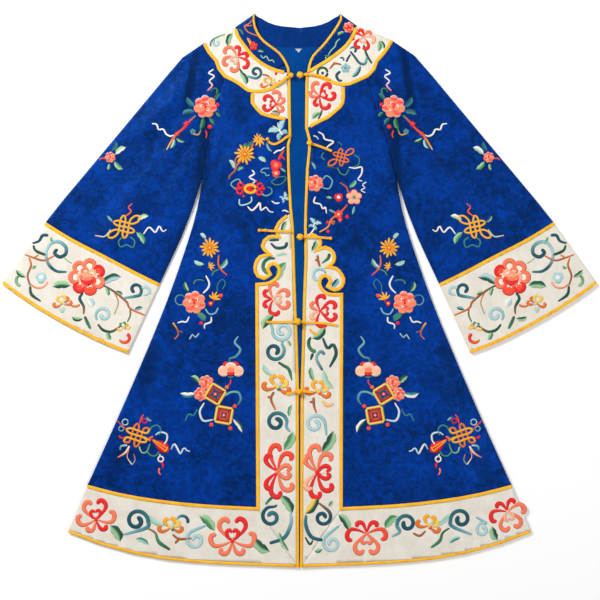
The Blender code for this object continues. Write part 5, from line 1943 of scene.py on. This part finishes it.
class ROBE_OT_borders(bpy.types.Operator):
    """Embroider the ivory bands, hem, cuffs, yoke and tabs with scrolling lotus and peony"""

    bl_idname = "robe.borders"
    bl_label = "Border needlework"

    def execute(self, context):
        stitch("ivory_silk")
        return {"FINISHED"}


class ROBE_OT_sprays(bpy.types.Operator):
    """Embroider sprays, knots and ribbons on the collar and the blue satin"""

    bl_idname = "robe.sprays"
    bl_label = "Sprays on the satin"

    def execute(self, context):
        stitch("collar_satin")
        stitch("robe_satin")
        return {"FINISHED"}


# Cord frogs


# A leg of a frog for half the cord's width; then, for the leg: how far out it lies, how high, and how full
LEG = 0.56
LEG_OUT = 0.95
LEG_UP = 1.1
LEG_FULL = 1.08
# A cord's end for its radius, and the spacing of the points along it
CORD_TIP = 0.35
CORD_STEP = 1.6
# A woven button: times that its strand goes round and crosses over, points, how far up it winds, its strand
LEADS = 3
BIGHTS = 4
WEAVE_POINTS = 120
WEAVE_REACH = 1.12
STRAND = 0.3
# Knots larger than this are buttons, not the ends of loops
BUTTON_FROM = 4


def cord_run(bm, stitch_layer, path, radius, sides=8, closed=False):
    """A cord swept along points in space, with its length and turn kept for the winding."""
    count = len(path) - (0 if closed else 1)
    made = bmesh.ops.create_grid(bm, x_segments=count, y_segments=sides, size=1.0)["verts"]
    marks = [0.0]
    for a, b in zip(path, [*path[1:], path[0]]):
        marks.append(marks[-1] + (b - a).length)
    for vert in made:
        i = round((vert.co.x + 1) / 2 * count)
        angle = vert.co.y * math.pi
        if closed:
            way = path[(i + 1) % count] - path[i % count - 1]
        else:
            way = path[min(i + 1, count)] - path[max(i - 1, 0)]
        way.normalize()
        square = way.cross(Vector((0.0, 0.0, 1.0)))
        if square.length < 0.2:
            square = way.cross(Vector((0.3, 1.0, 0.0)))
        square.normalize()
        over = square.cross(way)
        size = radius * CORD_TIP if not closed and i in (0, count) else radius
        vert.co = path[i % len(path)] + square * size * math.cos(angle) + over * size * math.sin(angle)
        vert[stitch_layer] = (marks[i] * MM, angle * radius * MM, 0.0)
    bmesh.ops.remove_doubles(bm, verts=made, dist=WELD)
    if not closed:
        edges = [e for v in made if v.is_valid for e in v.link_edges if e.is_boundary]
        bmesh.ops.holes_fill(bm, edges=list(set(edges)), sides=sides + 2)


def knot_path(centre, radius, strand):
    """A button knot's one closed strand, woven over and under round a ball."""
    path = []
    for i in range(WEAVE_POINTS):
        t = 2 * math.pi * i / WEAVE_POINTS
        lat = WEAVE_REACH * math.sin(BIGHTS * t)
        turn = LEADS * t
        reach = radius - strand * (1.15 - 0.35 * math.cos(BIGHTS * 2 * t))
        flat = math.cos(lat) * reach
        path.append(centre + Vector((flat * math.cos(turn), flat * math.sin(turn), math.sin(lat) * reach)))
    return path


def leg_path(knots, side):
    """One leg of a frog, beside the line through its knots, on the cloth as it is creased there."""
    spots = [(knot.x, knot.y) for knot in knots]
    ends = distances(spots)
    count = max(10, round(math.dist(spots[0], spots[-1]) / CORD_STEP))
    leg = CORD * LEG
    path = []
    for mark, place, way in spline(spots, count)[1]:
        k = 0
        while k < len(knots) - 2 and ends[k + 1] < mark:
            k += 1
        share = min(1.0, max(0.0, (mark - ends[k]) / (ends[k + 1] - ends[k])))
        low = knots[k].height * (1 - share) + knots[k + 1].height * share
        x = place[0] - way[1] * side * leg * LEG_OUT
        y = place[1] + way[0] * side * leg * LEG_OUT
        path.append(Vector((x, y, low + folds(x, y) + creases(x, y) + leg * LEG_UP)))
    return path


def woven_button(bm, stitch_layer, knot):
    """A ball of cord: one closed strand woven round a core."""
    radius = knot.radius * (BUTTON if knot.radius > BUTTON_FROM else 1.0)
    low = knot.height + folds(knot.x, knot.y) + creases(knot.x, knot.y)
    centre = Vector((knot.x, knot.y, low + radius))
    strand = radius * STRAND
    ball = bmesh.ops.create_uvsphere(bm, u_segments=12, v_segments=8, radius=radius - strand * 1.2)
    bmesh.ops.translate(bm, vec=centre, verts=ball["verts"])
    cord_run(bm, stitch_layer, knot_path(centre, radius, strand), strand, 7, True)


class ROBE_OT_frogs(bpy.types.Operator):
    """Tie the cord frogs: two legs side by side, with woven button knots"""

    bl_idname = "robe.frogs"
    bl_label = "Cord frogs"

    def execute(self, context):
        for name, table in FROGS.items():
            bm = bmesh.new()
            stitch_layer = bm.verts.layers.float_vector.new("stitch")
            knots = [Knot(*row) for row in table]
            for side in (-1, 1):
                cord_run(bm, stitch_layer, leg_path(knots, side), CORD * LEG * LEG_FULL)
            for knot in knots:
                if knot.radius > CORD:
                    woven_button(bm, stitch_layer, knot)
            bmesh.ops.recalc_face_normals(bm, faces=bm.faces[:])
            keep(f"{name}_cord", bm, "gold_cord", [name], smooth=None)
        return {"FINISHED"}


# Stage


class ROBE_OT_stage(bpy.types.Operator):
    """Lay the pale floor, and hang the soft light and the camera straight above"""

    bl_idname = "robe.stage"
    bl_label = "Floor, light and camera"

    def execute(self, context):
        stage = context.scene.robe_stage
        bm = bmesh.new()
        bmesh.ops.create_grid(bm, x_segments=1, y_segments=1, size=FLOOR_HALF)
        bmesh.ops.translate(bm, vec=(0.0, 0.0, -FLOOR_DROP), verts=bm.verts[:])
        mesh = bpy.data.meshes.new("floor")
        bm.to_mesh(mesh)
        bm.free()
        made = Finish("Pale floor", 0.9, Specular_IOR_Level=0.1)
        pale = tuple(stage.floor)
        tint = made.mix(made.grain(3.0) * 0.4, pale, shaded(pale, 0.985))
        mesh.materials.append(made.finish(Base_Color=tint))
        floor = bpy.data.objects.new("floor", mesh)
        context.scene.collection.objects.link(floor)
        for name, (place, size, share) in LIGHTS.items():
            self.light(name, place, size, stage.key * share)
        world = bpy.data.worlds.new("soft sky")
        world.use_nodes = True
        sky = world.node_tree.nodes["Background"]
        sky.inputs["Color"].default_value = (1.0, 1.0, 1.0, 1.0)
        sky.inputs["Strength"].default_value = stage.fill
        context.scene.world = world
        context.scene.view_settings.view_transform = "Standard"
        lens = bpy.data.cameras.new("camera")
        lens.lens = LENS
        lens.sensor_width = SENSOR
        lens.dof.use_dof = False
        camera = bpy.data.objects.new("camera", lens)
        camera.location = (*VIEW_CENTRE, VIEW_WIDTH * LENS / SENSOR)
        context.scene.collection.objects.link(camera)
        context.scene.camera = camera
        return {"FINISHED"}

    @staticmethod
    def light(name, place, size, power):
        lamp = bpy.data.lights.new(name, "AREA")
        lamp.shape = "DISK"
        lamp.size = size
        lamp.energy = power
        made = bpy.data.objects.new(name, lamp)
        made.location = place
        made.rotation_euler = (LIGHT_AIM - Vector(place)).to_track_quat("-Z", "Y").to_euler()
        bpy.context.scene.collection.objects.link(made)


OPERATORS = (
    ROBE_OT_lining,
    ROBE_OT_satin,
    ROBE_OT_ivory,
    ROBE_OT_collar,
    ROBE_OT_trims,
    ROBE_OT_borders,
    ROBE_OT_sprays,
    ROBE_OT_frogs,
    ROBE_OT_stage,
)


class ROBE_PT_panel(bpy.types.Panel):
    """The robe's pieces, in the order that they are made"""

    bl_idname = "ROBE_PT_panel"
    bl_label = "Embroidered Robe"
    bl_space_type = "VIEW_3D"
    bl_region_type = "UI"
    bl_category = "Robe"

    def draw(self, context):
        for group in (context.scene.robe_cloth, context.scene.robe_needle, context.scene.robe_stage):
            for name in group.__annotations__:
                self.layout.prop(group, name)
        for operator in OPERATORS:
            self.layout.operator(operator.bl_idname)


GROUPS = {
    "robe_cloth": RobeClothSettings,
    "robe_needle": RobeNeedleSettings,
    "robe_stage": RobeStageSettings,
}


def register():
    for made in (*GROUPS.values(), *OPERATORS, ROBE_PT_panel):
        bpy.utils.register_class(made)
    for name, group in GROUPS.items():
        setattr(bpy.types.Scene, name, PointerProperty(type=group))


def unregister():
    for name in GROUPS:
        delattr(bpy.types.Scene, name)
    for made in reversed((*GROUPS.values(), *OPERATORS, ROBE_PT_panel)):
        bpy.utils.unregister_class(made)


def main():
    register()
    for operator in OPERATORS:
        group, name = operator.bl_idname.split(".")
        getattr(getattr(bpy.ops, group), name)()


if __name__ == "__main__":
    main()
